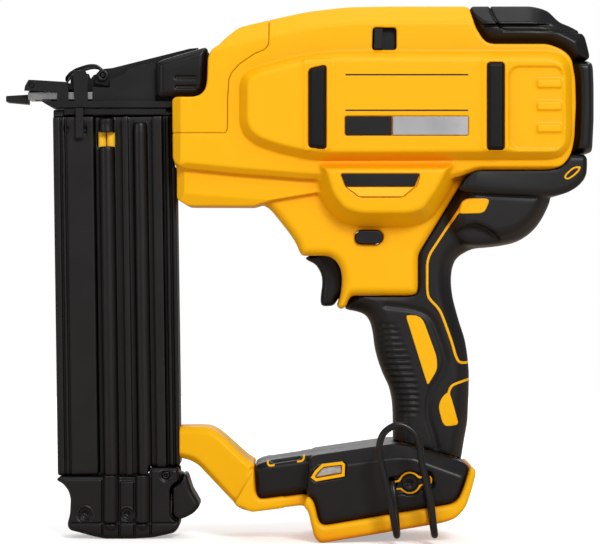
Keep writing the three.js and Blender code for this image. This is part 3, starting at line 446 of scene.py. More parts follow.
CORE = [
    (43, 133), (43, 112), (42.2, 104), (43, 98), (44.8, 91), (47.5, 84), (50.3, 78), (51.8, 72),
    (52.3, 65), (52.6, 52), (52, 13), (76, 17), (80.5, 26), (82, 38), (81.5, 45), (83.2, 53),
    (84.7, 62), (85.3, 75), (85.3, 86), (84.5, 95), (83, 103), (80, 111.5), (77, 123), (76, 133),
]
SPINE = [(60, 135), (60, 140), (84, 179), (90, 184), (122, 184), (122, 166), (112, 157), (80, 156)]
GRIP = [
    (22.6, 119.9), (24.6, 117.8), (30, 117), (34.5, 115.4), (37, 112.6), (38.5, 108), (39.2, 103.5),
    (39.8, 98), (41.6, 91), (44.2, 84), (47.2, 78), (48.6, 72), (49.2, 65), (49.4, 43), (83.2, 35),
    (86, 52), (87.5, 60), (88.1, 75), (88.3, 85), (87.4, 95), (86, 103), (83, 112), (80, 123),
    (79, 130), (79, 136), (80, 141), (82, 144.6), (86, 147.3), (92, 150), (103, 151), (112, 152.8),
    (119, 157), (124, 162.5), (128, 170), (130, 175.5), (128, 184), (127, 195), (84, 195), (55.5, 150),
    (55.5, 131), (30, 131),
]
BULGE = [
    (75, 165.5), (86, 183.5), (129, 181), (130, 175.5), (128, 170), (124, 162.5), (119, 157),
    (112, 152.8), (103, 151), (92, 150), (83, 151),
]
REAR_BAND = [
    (82, 178.2), (84, 186), (92, 194), (127, 194), (134, 197.4), (147, 197), (147.2, 190), (146.4, 185),
    (142, 180.2), (136, 177), (128, 175.5), (100, 176.5),
]
REAR_BUMPER = [
    (87.7, 273), (122, 273.2), (126, 272.3), (133, 264.6), (138.5, 262.6), (146, 258.3), (148.2, 250),
    (149, 245.3), (139.8, 245.3), (134.8, 250.8), (127.2, 253.8), (98.2, 253.8), (95.2, 255.2),
    (90.7, 262.2), (88.6, 269.7),
]
REAR_CAP = [
    (140.1, 244.9), (149.3, 244.9), (150.6, 242.5), (151, 232), (151, 215), (150.3, 200),
    (149.5, 197.8), (139.8, 197.8), (141.2, 205), (141.9, 222), (141.6, 235),
]
ARM = [
    (-75, 42.3), (-75, 57.7), (-49, 57.7), (-44, 57), (-39, 53.5), (-25, 40.5), (-21.9, 39.3),
    (-22.6, 36.5), (-21.8, 24.4), (-20.8, 18.5), (-24, 15), (-29, 15.5), (-33, 18.5), (-52, 38.5),
    (-57, 41),
]
ARM_UNDERSIDE = [  # the line of its lower edge, closed far above
    (-90, 100), (-90, 46), (-52, 38.8), (-29, 15.4), (-24, 15), (10, 19), (10, 100),
]
ARM_END_X = -61.1
ARM_TONGUE = [
    (-24, 15), (-27, 18), (-22.2, 24.4), (-20.3, 21.4), (-18, 21), (-8, 22.3), (-8, 17.1),
]
TRAY_NOSE = [
    (-24, 15), (-33, 18.5), (-24, 34), (-22.6, 36.5), (-21.8, 24.4), (-20.3, 21.4), (-18, 21),
    (4.4, 24), (7, 22.5), (8.6, 19.2), (9.4, 15), (5, 16.6), (2.5, 18.3),
]
TRAY = [
    (2.5, 18.3), (5, 16.6), (7, 8), (8.4, 2.4), (11, 0), (13, 0), (74, 10.3), (80, 12.5), (85, 18),
    (88, 27), (90.3, 36), (89, 38.2), (87, 38), (86.4, 36), (83.6, 27.3), (81, 21.6), (77.6, 19.6),
    (15, 9.1), (12.6, 9), (10.3, 11.1), (8.6, 19.2), (7, 22.5), (4.4, 24),
]
COVER_NOSE = [
    (-22.2, 36.5), (-21.4, 24.6), (-20.1, 21.8), (-18, 21.4), (4.5, 24.4), (7.3, 22.9), (16, 22),
    (16, 45.4), (-17.5, 40.4), (-21.6, 38.6),
]
COVER = [
    (4, 24.5), (7.3, 22.9), (9, 19.4), (10.7, 11.4), (12.8, 9.5), (15, 9.6), (77.5, 20.1), (80.7, 22),
    (83.2, 27.5), (86, 36), (86.6, 38.4), (84.2, 40.8), (60, 47.8), (49, 50.3), (6, 44),
]
COVER_CROWN = [
    (-40, -50), (-40, 37.5), (4, 43.9), (49, 50.3), (60, 49.6), (84.2, 40.8), (120, 24), (120, -50),
]
STALL_WINDOW = [(37.6, 250), (38, 261.4), (50, 261.4), (50, 250)]
TRIGGER_SLOT = [(6, 144), (8, 159), (34, 159), (34, 121), (28, 116), (17, 116), (17, 144)]
PAD_FRONT = [(5.6, 200.4), (13.9, 199.6), (14, 241.6), (5.6, 239.6)]
PAD_REAR = [(95.9, 199.2), (104.1, 199.2), (104.1, 242.9), (95.9, 242.9)]
BADGE = [(24, 206.5), (24, 215.8), (86, 215.8), (86, 206.5)]
LABEL = [(31, 175.2), (53, 175.2), (60, 180.8), (61.5, 186.8), (21.9, 186.8), (24, 180.6)]
HANDLE_WINDOW = [
    (55, 115.2), (60.3, 115.2), (63.5, 113.6), (65, 110.7), (71, 94.3), (71.5, 89.3), (71, 86.4),
    (66.4, 78.7),
]
BACK_WINDOW = [
    (77.5, 75.7), (74.6, 74.3), (72.5, 70.7), (72, 67.1), (73.9, 60), (75.7, 57.8), (82.5, 58.9),
    (78.9, 72.1),
]
SPINE_WINDOW = [
    (83.2, 173), (86.4, 174.8), (96.4, 174.8), (97.6, 173.4), (95.5, 168.5), (93.6, 167.1),
    (81.8, 166.8),
]
LED_WINDOW = [
    (6.4, 33.2), (9, 31.2), (23.6, 33.8), (23.8, 40), (22.4, 41.3), (12.2, 40.1), (8.6, 36.8),
]
END_CAP = [
    (-122.6, 32), (-124.6, 30.4), (-120.8, 28.3), (-118, 24.7), (-116.9, 20.4), (-117.3, 12.5),
    (-118.7, 7.5), (-117.6, 4.6), (-104.4, 1.1), (-100.1, 0.2), (-98, 0), (-85, 0), (-74.3, 0.7),
    (-63.6, 3.1), (-61.1, 6.1), (-61, 32), (-61.4, 36.6), (-76.5, 36.6), (-76.5, 32),
]
CAP_LEVER = [
    (-60, 29.7), (-59.3, 33.3), (-57.2, 32.9), (-54.7, 24.7), (-50.7, 18.2), (-50.7, 16.4), (-54, 12.8),
    (-59.3, 10.2), (-62.9, 9.6), (-65, 12), (-65, 26.1), (-62.9, 28.3),
]
TRIGGER = [
    (3.6, 144.9), (4.5, 143.3), (8.8, 141.5), (10.9, 138.6), (12.4, 135.1), (12.6, 130.8), (11.8, 125),
    (11.6, 121), (12.7, 119.4), (18.6, 119.7), (20, 122.4), (25, 127.5), (25, 139), (22.4, 141.8),
    (22.4, 152), (19.6, 156.6), (13, 156.6), (9.6, 153), (8.6, 146.2),
]
MAGAZINE_LOW = -189.2  # lower end of the magazine, from its top
CAP_SCREWS = [("cap_screw_front", -109.3, 13), ("cap_screw_rear", -87.8, 12.7)]
HOOK_SCREW = (56.6, 30.4)
HOOK_ENDS = [(47.6, 30), (65.2, 32.6)]
SPRINGS = {  # the joint that presses each, the X of its fixed end in the row frame, its share left
    "trigger_spring": ("trigger_pull", 129.1, 0.948),
    "return_spring_left": ("driver_slide", 55.5, 0.04),
    "return_spring_right": ("driver_slide", 55.5, 0.04),
}
HOUSING_SCREWS = [(-45, 180, 23), (76, 262, 28), (69.5, 127.6, 13.6), (-44, 48.5, 16.4)]  # x, z, seat
CAP_PIVOT = (-67.9, 32.8)
LATCH_PIVOT = (-100.8, 238.7)
TRIGGER_PIVOT = (15.4, 151.6)


def box_outline(x0, x1, z0, z1):
    return [(x0, z0), (x1, z0), (x1, z1), (x0, z1)]


def half_circle(x, z, radius, start):
    """Half a circle of points, from the angle `start` on."""
    angles = np.linspace(start, start + math.pi, 9)
    return [(x + radius * math.cos(a), z + radius * math.sin(a)) for a in angles]


LOCK = half_circle(32.5, 155, 3.3, math.pi / 2) + half_circle(40.1, 155, 3.3, -math.pi / 2)


def tilted(x, z):
    """A point of the foot's own frame in the drawing."""
    return (FOOT_CORNER_X + x * math.cos(FOOT_TILT) - z * math.sin(FOOT_TILT),
            x * math.sin(FOOT_TILT) + z * math.cos(FOOT_TILT))


def tilted_box(x0, x1, z0, z1):
    """A box that leans with the foot, as an outline in the drawing."""
    return [tilted(x, z) for x, z in box_outline(x0, x1, z0, z1)]


# ---- housing
def shell(field):
    """The wide upper body: nearly square edges, a long chamfer along the top and one down the front."""
    made = field.slab(SHELL, SHELL_HALF, 0.9, edge=0.5)
    made = smax(made, field.slab(CROWN, SHELL_HALF, 9.5, 8, edge=0.5, reach=3), 0.5)
    made = smax(made, field.slab(PROW, SHELL_HALF, 5, 5, edge=0.5, reach=0), 0.5)
    return smax(made, field.slab(SHELL_FLOOR, SHELL_HALF, 3.5, edge=0.5), 0.5)


def housing(side):
    """The upper part of one housing half, down to the handle's root."""
    upper = Field((-66, -1.2, 116), (143, 40, 275), FINE)
    shape = upper.slab(BODY, 22, 3, edge=1.4)
    prow = upper.slab(LOWER_FRONT, LOWER_HALF, edge=0.5, reach=0.8)
    for points, wide, drop in ((LOWER_CREASE, 9, 4), (LOWER_PROW, 4.3, 4)):
        prow = smax(prow, upper.slab(points, LOWER_HALF, wide, drop, edge=0.3, reach=0), 0.3)
    shape = smin(shape, prow, 0.7)
    shape = smin(shape, np.maximum(shell(upper), 0.06 - upper.flat(COVER_SIDE, reach=0)), 0.2)
    gauge = upper.slab(GAUGE_PLATE, 37.3, 8, 15.3, edge=1.6, reach=2.5)
    shape = smin(shape, gauge, 1.6)
    panel = upper.slab(PANEL, 37.4, 4.6, 6.4, edge=0.9, reach=3)
    shape = smin(shape, panel, 0.8)
    outer = shape
    for pad in (PAD_FRONT, PAD_REAR):
        middle = sum(x for x, z in pad) / 4
        around = box_outline(middle - 7.6, middle + 7.6, 198.2, 245.2)
        strip = upper.slab(around, 37.95, 1.0, edge=0.3, start=30, reach=1)
        shape = smin(shape, np.maximum(strip, panel - 0.6), 0.4)
        rim = upper.slab(pad, 38.5, 0.5, edge=0.3, grow=0.9, start=30, reach=0.8)
        shape = smin(shape, rim, 0.3)
        shape = cut(shape, upper.slab(pad, BEYOND, grow=0.35, start=35.9, reach=0.8), 0.2)
    recess = upper.slab(box_outline(107, 134, 199.5, 240.8), BEYOND, start=36.1, reach=3)
    shape = cut(shape, recess, 1.8)
    for z0, z1 in ((230.4, 234.6), (219, 223.4), (207.8, 212)):
        shape = smin(shape, upper.box(121, 133.4, 30, 37.3, z0, z1, 0.9), 1.0)
    shape = cut(shape, upper.slab(STALL_WINDOW, BEYOND, start=20, reach=0.8), 0.5)
    if side < 0:
        for plate_outline, reach in ((BADGE, 0.4), (LABEL, 0.6)):
            seat = upper.slab(plate_outline, BEYOND, grow=0.3, start=36.6, reach=reach)
            shape = cut(shape, seat, 0.2)
    shape = cut(shape, upper.slab(LOCK, BEYOND, grow=0.3, start=-2, reach=0), 0.5)
    hollow = np.maximum(upper.slab(SHELL, 28, grow=-3), 3 - upper.flat(COVER_SIDE, reach=0))
    for points, half, wall in ((BODY, 19, 3), (PANEL, 34.5, 6), (GAUGE_PLATE, 25, 5)):
        hollow = np.minimum(hollow, upper.slab(points, half, grow=-wall))
    hollow = np.maximum(hollow, outer + 2.6)
    for room in (upper.slab(TRIGGER_SLOT, 9.4, reach=0.5), upper.box(46, 74, -5, 11.6, 100, 140),
                 upper.box(-70, -59, -5, 13, 204, 234), upper.box(-36, -24, -5, 22.6, 211, 244)):
        hollow = np.minimum(hollow, room)
    shape = cut(shape, hollow)
    shape = smin(shape, np.maximum(upper.slab(SPINE, 12), -upper.T), 0.3)
    shape = np.minimum(shape, upper.slab(SPINE_WINDOW, 26.6, reach=1))
    core = np.maximum(handle_core(upper), -upper.slab(CORE, 10, grow=-4))
    shape = np.minimum(shape, core)
    for x, z, seat in HOUSING_SCREWS[:3]:
        shape = smin(shape, upper.rod(x, z, 4, 0, seat), 0.5)
        shape = cut(shape, screw_hole(upper, side, x, z, seat))
    return upper, np.maximum(shape, PARTING - upper.T)


def screw_hole(field, side, x, z, seat):
    """Room for a housing screw: its thread in the left half, its shank and head in the right."""
    if side < 0:
        return field.rod(x, z, 1.6, -2, 8)
    return np.minimum(field.rod(x, z, 1.6, -2, seat + 1), field.rod(x, z, 3.3, seat - 3, BEYOND))


def handle_core(field):
    """The stiff core of the handle, at least 2 mm under the rubber."""
    core = field.slab(CORE, CORE_HALF, 3, edge=1.0)
    return np.maximum(core, np.minimum(overmould(field) + 2, field.Z - 46))


def lower_housing(side):
    """The lower part of one housing half: the handle's core, the front arm and the foot's tray."""
    low = Field((-61, -1.2, -1), (92, 39, 134), FINE)
    arm_half = 13.4 + 0.31 * np.clip(low.X - ARM_END_X, 0, 41)  # it widens towards the foot
    arm = low.slab(ARM, arm_half, 3, 3, edge=0.6, reach=2)
    arm = smax(arm, low.slab(ARM_UNDERSIDE, arm_half, 1, edge=0.6), 0.5)
    arm = smin(arm, low.slab(ARM_TONGUE, 25, reach=0.3), 0.8)
    arm = smax(arm, ARM_END_X - low.X, 0.4)
    shape = smin(arm, low.slab(TRAY_NOSE, FOOT_NOSE_HALF, 1, edge=0.7), 1.5)
    shape = smin(shape, low.slab(TRAY, 37.5, 1.5, edge=0.9), 0.6)
    shape = smin(shape, handle_core(low), 0.6)
    hollow = np.minimum(low.slab(CORE, 10, grow=-4), low.box(56, 68, -5, 10, 100, 150))
    shape = cut(shape, hollow)
    shape = cut(shape, screw_hole(low, side, *HOUSING_SCREWS[3]))
    rail = outline_distance(np.array(tilted_box(6, 90, -6, 6)), low.x, low.z)
    shape = cut(shape, np.maximum(rail, low.T - 24))
    return low, np.maximum(shape, PARTING - low.T)


# ---- overmould
PIPING = [
    [(84, 171.5), (66.2, 144.5), (66.2, 125.5), (68, 122.5), (71.3, 119.5), (73.5, 116), (79.3, 100),
     (81, 93), (83.5, 90), (90, 91.3)],
    [(90, 82.6), (80.4, 80), (77.8, 78), (77, 74)],
]
RING = [
    (134.8, 184.8), (135.1, 186.6), (139.6, 190.8), (143.3, 191.2), (144, 189.8), (141.5, 186.6),
    (136.9, 183.5),
]
CONTOUR = [  # the groove round the grip's finger side
    (45, 120), (59, 118.4), (67.5, 115.2), (70.6, 108.5), (75.2, 95), (75.6, 89.5), (72.4, 82.5),
    (67.4, 76), (66.2, 64), (70, 52), (71, 47),
]
FINGERS = [(36, 113), (50, 113), (57, 96), (63, 78), (63, 62), (46, 61), (40, 84)]
DENT = [(79.5, 151), (83, 159), (88, 162.3), (94, 161), (100, 157.4), (103.5, 153.4), (98, 151.5)]


def line_distance(points, field):
    """Distance in the drawing from an open line with softened corners."""
    axes = np.meshgrid(field.x, field.z, indexing="ij")
    points = soften(points, 2.5, closed=False)
    nearest = 1e9
    for start, end in zip(points[:-1], points[1:]):
        nearest = np.minimum(nearest, to_segment(axes, start, end))
    return nearest[:, None, :].astype(np.float32)


def overmould(field):
    """The rubber over one side of the handle and the motor's underside, with ribs, groove and dent."""
    handle = field.slab(GRIP, 18, 6, 7.5, edge=2.6)
    bulge = field.slab(BULGE, 27, 6, 8, edge=2.5, reach=3)
    band = field.slab(REAR_BAND, 31.3, 2, edge=1.2)
    shape = smin(smin(handle, bulge, 2.5), band, 0.8)
    ribs = np.clip(-field.flat(FINGERS, reach=3) / 2.5, 0, 1)
    ribs = ribs * np.clip((-field.flat(GRIP) - 1.4) / 2.2, 0, 1)
    wave = np.clip(1.6 * np.sin(2 * math.pi * field.Z / 3.05), 0, 1)
    shape = shape + 0.6 * ribs * wave
    contour = line_distance(CONTOUR, field)
    shape = shape + 0.8 * np.clip(1 - (contour / 1.9) ** 2, 0, 1)
    return cut(shape, field.slab(DENT, BEYOND, start=21.5, reach=2.5), 2.2)


def grip(side, word):
    """One side's overmould, with its yellow piping, inlays and tag."""
    name = "grip_" + word
    field = Field((23, -1.2, 40), (150, 33, 199), FINE)
    shape = overmould(field)
    around = np.minimum(handle_core(field) - 0.3, field.slab(SPINE, 12.3, grow=0.3))
    around = np.minimum(around, field.slab(COVER, BEYOND, grow=0.3))
    around = np.minimum(around, field.slab(BODY, BEYOND, grow=0.3, reach=0.8))
    shape = cut(shape, around)
    if side > 0:
        for x, z, _ in HOUSING_SCREWS[1:3]:
            shape = cut(shape, field.rod(x, z, 3.6), 0.3)
    shape = np.maximum(shape, PARTING - field.T)
    moulded(name, field, shape, side)

    thin = Field((53.5, 9, 56), (99, 29, 176), 0.4)
    under = overmould(thin)
    inset = thin.flat([(88.5, 168.8), (93.5, 168.8), (95, 172.8), (88.5, 172.8)], grow=-0.2, reach=0.8)
    for part, points, window in (
        ("piping_upper", PIPING[0], SPINE_WINDOW),
        ("piping_lower", PIPING[1], BACK_WINDOW),
        ("grip_inlay", None, HANDLE_WINDOW),
    ):
        lines = thin.flat(window, reach=1)
        if points:
            lines = smin(lines, line_distance(points, thin) - 0.75, 0.8)
        skin = smax(smax(lines, under - 0.22, 0.25), -0.7 - under, 0)
        if part == "piping_upper":
            skin = smax(skin, -np.maximum(np.abs(inset) - 0.35, 0.08 - under), 0.1)
        yellow(f"{part}_{word}", name, thin, skin, side)
    tag = Field((133.5, 24, 182), (146, 33, 193), 0.4)
    outline = tag.flat(RING, reach=1.2)
    under = overmould(tag)
    ring = smax(smax(np.abs(outline + 0.6) - 0.55, under - 0.2, 0.2), -0.7 - under, 0)
    yellow("rear_tag_" + word, name, tag, ring, side, reduce=0.6)


# ---- covers, bumpers and the cap
def both_sides(low, high, step=None):
    """A field over the whole depth: T is the distance from the parting plane, S the signed one."""
    field = Field((low[0], -high[1], low[1]), (high[0], high[1], high[2]), step or FINE)
    field.S = -field.T
    field.T = np.abs(field.T)
    return field


def front_cover():
    """The cover beside the nose, one piece over both sides."""
    field = both_sides((-66, 205), (-12, 32, 269))
    whole = shell(field)
    shape = np.maximum(whole, field.flat(COVER_SIDE, reach=0) + 0.06)
    hollow = np.maximum(whole + 2.8, field.flat(COVER_SIDE, reach=0) + 3)
    for room in (field.box(-70, -42.6, -1, 13, 200, 245), field.box(-45, -12, -1, 22.6, 206, 252),
                 field.box(-58, -12, -1, 25, 200, 222)):
        hollow = np.minimum(hollow, room)
    moulded("front_cover", field, cut(shape, hollow))


def rear_pieces():
    """The bumper over the rear top corner and the cap below it."""
    field = both_sides((87, 243), (150, 32, 275))
    crown = field.slab(CROWN, REAR_HALF, 9.5, 8, edge=1, reach=3)
    shape = smax(field.slab(REAR_BUMPER, REAR_HALF, 5, edge=1.6), crown, 0.4)
    groove = np.maximum(np.abs(field.Z - 262.5) - 0.55, 89.5 - field.X)
    shape = cut(shape, np.maximum(groove, 28.6 - field.T), 0.5)
    seam = field.flat([(98, 280), (98, 270.5), (100.5, 265), (103, 260.6), (105, 259.8), (160, 259),
                       (160, 280)])
    shape = cut(shape, np.maximum(np.abs(seam) - 0.45, -0.8 - shape), 0.3)
    moulded("rear_bumper", field, shape)

    field = both_sides((139, 197), (152, 32, 246))
    moulded("rear_cap", field, field.slab(REAR_CAP, REAR_HALF, 2.5, 6, edge=1.4))


def nose_cover():
    """The black cover over the nose block, with two ribs cut in each side."""
    field = both_sides((-74, 226), (-45, 19, 252), 0.55)
    shape = field.slab(NOSE_COVER, 18, 3, edge=0.9)
    lips = [(x, z + 1.9 if z > 240 else z) for x, z in NOSE_COVER]
    shape = smin(shape, np.maximum(field.slab(lips, 18, 2.6, edge=0.7), 7.8 - field.T), 0.3)
    shape = cut(shape, field.box(-80, -40, -1, 12.6, 220, 243.4))
    for z in (237, 232.2):
        shape = cut(shape, field.box(-63, -52.3, 17.2, 30, z - 0.85, z + 0.85, 0.3), 0.4)
    moulded("nose_cover", field, shape)


def foot_cover(side, word):
    """One side of the foot's cover, with the lamp and the hook's boss or, on the right, a switch."""
    name = "foot_cover_" + word
    field = Field((-23, -1.2, 8.5), (88, 38, 51.5), FINE)
    nose = field.slab(COVER_NOSE, FOOT_NOSE_HALF, 3, edge=1)
    crown = field.slab(COVER_CROWN, COVER_HALF, 7.5, 6, edge=0.6)
    body = smax(field.slab(COVER, COVER_HALF, 2, edge=0.8, reach=2), crown, 0.5)
    shape = smin(nose, body, 0.8)
    shape = cut(shape, np.maximum(field.slab(COVER, 33.5, grow=-3.2), body + 2.8))
    shape = cut(shape, field.slab(CORE, CORE_HALF + 0.3, grow=0.3))
    slot = field.slab([(-14.4, 39.2), (1.8, 41.6), (1.8, 50), (-14.4, 50)], BEYOND, start=19.5)
    shape = cut(shape, slot, 0.3)
    if side < 0:
        shape = cut(shape, field.slab(LED_WINDOW, BEYOND, start=34.5, grow=0.3, reach=0.8), 0.3)
        boss = field.slab(tilted_box(36.5, 61, 18, 27), BEYOND, start=34.7, reach=1.5)
        shape = cut(shape, smin(boss, field.rod(*HOOK_SCREW, 6.2, 34.7), 0.6), 0.5)
        for x, z in HOOK_ENDS:
            shape = cut(shape, field.rod(x, z, 2.3, 29.5), 0.3)
        shape = cut(shape, field.rod(*HOOK_SCREW, 1.6, 20))
    else:
        shape = cut(shape, field.slab(box_outline(30, 44.4, 26, 34), BEYOND, start=35.3), 0.4)
    shape = np.maximum(shape, PARTING - field.T)
    moulded(name, field, shape, side, look=BLACK)
    if side < 0:
        trims()


def trims():
    """The yellow line round the hook's boss and the yellow ends of the slot in the foot's top."""
    fine = Field((44, 33, 20), (70, 38, 38), 0.35)
    boss = smin(fine.flat(tilted_box(37.5, 60, 20.6, 24.4), reach=1),
                fine.around(*HOOK_SCREW) - 5.2, 1.2)
    ring = np.maximum(np.abs(boss) - 0.5, np.maximum(34.5 - fine.T, fine.T - 35.2))
    yellow("hook_boss_line", "foot_cover_left", fine, ring)
    fine = Field((-19, 18, 36), (6, 27, 45), 0.35)
    cover = fine.slab(COVER_NOSE, FOOT_NOSE_HALF, 3, edge=1)
    outline = fine.flat([(-15.6, 38), (3.2, 40.8), (3.2, 60), (-15.6, 60)], reach=1)
    ahead = fine.X + 6.2  # from the slot's middle
    ring = smax(np.abs(outline + 0.2) - 0.55, 5.6 - np.abs(ahead), 0.1)
    for word, half in (("front", ahead), ("rear", -ahead)):
        trim = smax(np.maximum(ring, half), cover - 0.22, 0.15)
        yellow("foot_slot_trim_" + word, "foot_cover_left", fine, smax(trim, -1.0 - cover, 0))


def end_cap():
    """The magazine's end cap, with the columns that carry its tubes on, and its latch."""
    field = both_sides((-126, -1), (-59, 18.2, 38), 0.42)
    shape = field.slab(END_CAP, 15.6, 1.6, edge=0.5, reach=0.8)
    for x, radius, low, high in ((-96.2, 4.1, 8, 32.7), (-79.9, 3.9, 8, 32.7)):
        column = np.hypot(np.hypot(field.X - x, field.S + 13.5), np.minimum(field.Z - low, 0)) - radius
        column = np.maximum(column, field.Z - high)
        beside = np.abs(np.abs(field.X - x) - radius - 0.3) - 0.5
        shape = cut(shape, np.maximum(beside, field.S + 14.6), 0.4)
        shape = smin(shape, column, 0.2)
    sill = np.maximum(np.abs(field.Z - 33) - 3.4, np.maximum(field.X + 84.4, -91.6 - field.X))
    shape = cut(shape, np.maximum(sill, field.S + 14.2), 0.4)
    shape = np.maximum(shape, -field.Z)
    shape = cut(shape, field.slab(CAP_LEVER, BEYOND, grow=1.0, reach=1), 0.3)
    shape = cut(shape, field.box(-74, -56, -1, 5.6, 18.6, 41), 0.3)
    shape = cut(shape, np.maximum(np.abs(field.Z - 8.2) - 0.4, 14.9 - field.T), 0.4)
    for _, x, z in CAP_SCREWS:
        around = field.around(x, z)
        shape = cut(shape, np.maximum(around - 1.6, field.S - 4))
        shape = cut(shape, np.maximum(around - 3.3, field.S + 14.1), 0.3)
        shape = cut(shape, np.maximum(np.abs(around - 4.4) - 0.25, field.S + 15.2), 0.2)
    around = field.around(*CAP_PIVOT)
    shape = cut(shape, around - 2.2)
    shape = cut(shape, np.maximum(around - 3.2, 15.0 - field.T), 0.2)
    moulded("end_cap", field, shape)

    field = both_sides((-72, 9), (-50, 17, 37), 0.5)
    shape = field.slab(CAP_LEVER, 14.5, 1.5, edge=0.6, reach=1)
    for z in (15.6, 18, 20.4, 22.8, 25.2):
        at = -49.9 - (z - 18) * 0.5
        shape = cut(shape, field.around(at, z) - 0.9, 0.3)
    ear = field.slab([(-71.2, 33), (-67.9, 36.2), (-58, 33), (-59.5, 24), (-64.5, 20)], 5, edge=0.3)
    shape = smin(shape, ear, 0.3)
    around = field.around(*CAP_PIVOT)
    socket = np.maximum(around - 0.9, 13.8 - field.T)
    pin = np.maximum(np.maximum(around - 1.95, field.T - 15.4), -socket)
    moulded("magazine_latch", field, np.minimum(shape, pin))


def trigger():
    """The trigger with its pin."""
    field = both_sides((2, 118), (26.5, 19.5, 158), 0.45)
    shape = field.slab(TRIGGER, 8, 2.2, edge=1.2, reach=1.2)
    pin = field.rod(*TRIGGER_PIVOT, 2.2, t1=18.6)
    moulded("trigger", field, np.minimum(shape, pin))


def latch_bail():
    """The wire loop that hooks over the nose door, with its eyes on the latch pin."""
    field = both_sides((-122, 234), (-97, 10.2, 246), 0.3)
    path = soften([
        (-100.6, 8.2, 240.6), (-102.6, 8.2, 243), (-106, 8.2, 244.2), (-111, 8, 243), (-116, 7.6, 241.2),
        (-119.2, 6.4, 238.4), (-119.8, 4.6, 236.9), (-119.9, 2, 236.6), (-119.9, -0.5, 236.6),
    ], 2.5, closed=False)
    wire = 1e9
    for start, end in zip(path[:-1], path[1:]):
        wire = np.minimum(wire, to_segment((field.X, field.T, field.Z), start, end))
    around = field.around(*LATCH_PIVOT)
    eye = np.maximum(np.maximum(around - 2.9, 1.45 - around), np.abs(field.T - 8.35) - 0.85)
    moulded("latch_bail", field, smin(wire - 0.78, eye, 0.3), reduce=0.6)


# ---- wires, screws, plates
def tube_faces(rings, sides):
    """The faces of a closed tube whose corners are listed ring by ring."""
    faces = []
    for ring in range(0, (rings - 1) * sides, sides):
        for k in range(sides):
            k2 = (k + 1) % sides
            faces.append((ring + k, ring + k2, ring + sides + k2, ring + sides + k))
    faces.append(tuple(range(sides))[::-1])
    faces.append(tuple(range((rings - 1) * sides, rings * sides)))
    return faces


def between(t, t0, t1, start, end):
    """The point that goes from start to end as t goes from t0 to t1."""
    return ((t1 - t) * start + (t - t0) * end) / (t1 - t0)


def sweep(node, path, radius, sides=16, per=7):
    """A round wire along a smooth curve through the path's points."""
    p = np.array(path, float)
    p = np.vstack([2 * p[0] - p[1], p, 2 * p[-1] - p[-2]])
    centre = []
    for i in range(1, len(p) - 2):
        t0, t1, t2, t3 = np.cumsum([0, *np.linalg.norm(np.diff(p[i - 1:i + 3], axis=0), axis=1) ** 0.5])
        for t in np.linspace(t1, t2, per, endpoint=False):
            a1 = between(t, t0, t1, p[i - 1], p[i])
            a2 = between(t, t1, t2, p[i], p[i + 1])
            a3 = between(t, t2, t3, p[i + 1], p[i + 2])
            b1, b2 = between(t, t0, t2, a1, a2), between(t, t1, t3, a2, a3)
            centre.append(between(t, t1, t2, b1, b2))
    centre.append(p[-2])
    centre = np.array(centre)
    along = np.gradient(centre, axis=0)
    along /= np.linalg.norm(along, axis=1)[:, None]
    across = np.cross(along[0], [0.3, 0.5, 0.8])
    verts = []
    for at, way in zip(centre, along):
        across = across - way * across.dot(way)
        across /= np.linalg.norm(across)
        other = np.cross(way, across)
        for k in range(sides):
            a = 2 * math.pi * k / sides
            q = at + radius * (math.cos(a) * across + math.sin(a) * other)
            verts.append(((q[0] + SX) * MM, q[1] * MM, q[2] * MM))
    mesh = mesh_of(node + "_look", verts, tube_faces(len(centre), sides))
    smooth_by_angle(mesh, 50)
    as_piece(mesh, node)


def hook():
    """The belt hook, one bent wire with both ends in the foot's cover."""
    out = -55  # how far out its legs hang
    (x0, z0), (x1, z1) = HOOK_ENDS
    path = [
        (x0, -29.85, z0), (x0, -36.85, z0), (48.2, -38.9, 26.5), (49.4, -40, 13),
        (49.8, -43.5, 6), (49.4, -50, 5.4), (48.6, out + 1.4, 9), (45.4, out, 26), (41.2, out, 44),
        (40.6, out, 50), (43, out, 57), (50.5, out, 61), (58, out, 57), (60.8, out, 50),
        (61.4, out, 44.5), (63.6, out, 34), (66.6, out, 20), (67.9, out + 1.4, 9.4), (68.5, -50, 5.6),
        (68.4, -43.5, 6.4), (67.4, -40, 14), (65.4, -38.9, 29), (x1, -36.85, z1),
        (x1, -29.85, z1),
    ]
    sweep("belt_hook", path, 1.72)


def turned(points, segments):
    """(radius, height) corners turned about Z, as vertices and faces."""
    angles = [2 * math.pi * k / segments for k in range(segments)]
    verts = [(radius * math.cos(a), radius * math.sin(a), height)
             for radius, height in points for a in angles]
    return verts, tube_faces(len(points), segments)


def screw(node, x, z, face, head, shank_to, side=-1, socket=1.3):
    """A star-socket screw along Y. `face` and `shank_to` are distances from the parting plane."""
    verts, faces = turned([
        (1.25, shank_to), (1.25, face - 2.4), (head * 0.72, face - 2.4), (head, face - 1.7),
        (head, face - 0.35), (head - 0.35, face), (socket * 1.16, face), (socket, face - 0.15),
        (socket * 0.9, face - 1.4), (0.02, face - 1.8)], 36)
    star = []
    for vx, vy, vz in verts:
        radius = math.hypot(vx, vy)
        if 0.1 < radius < socket * 1.18 and vz > face - 1.6:
            scale = 1 + 0.14 * math.cos(6 * math.atan2(vy, vx))
            vx, vy = vx * scale, vy * scale
        star.append(((vx + x + SX) * MM, vz * side * MM, (vy + z) * MM))
    mesh = mesh_of(node + "_look", star, faces)
    smooth_by_angle(mesh, 35)
    as_piece(mesh, node)


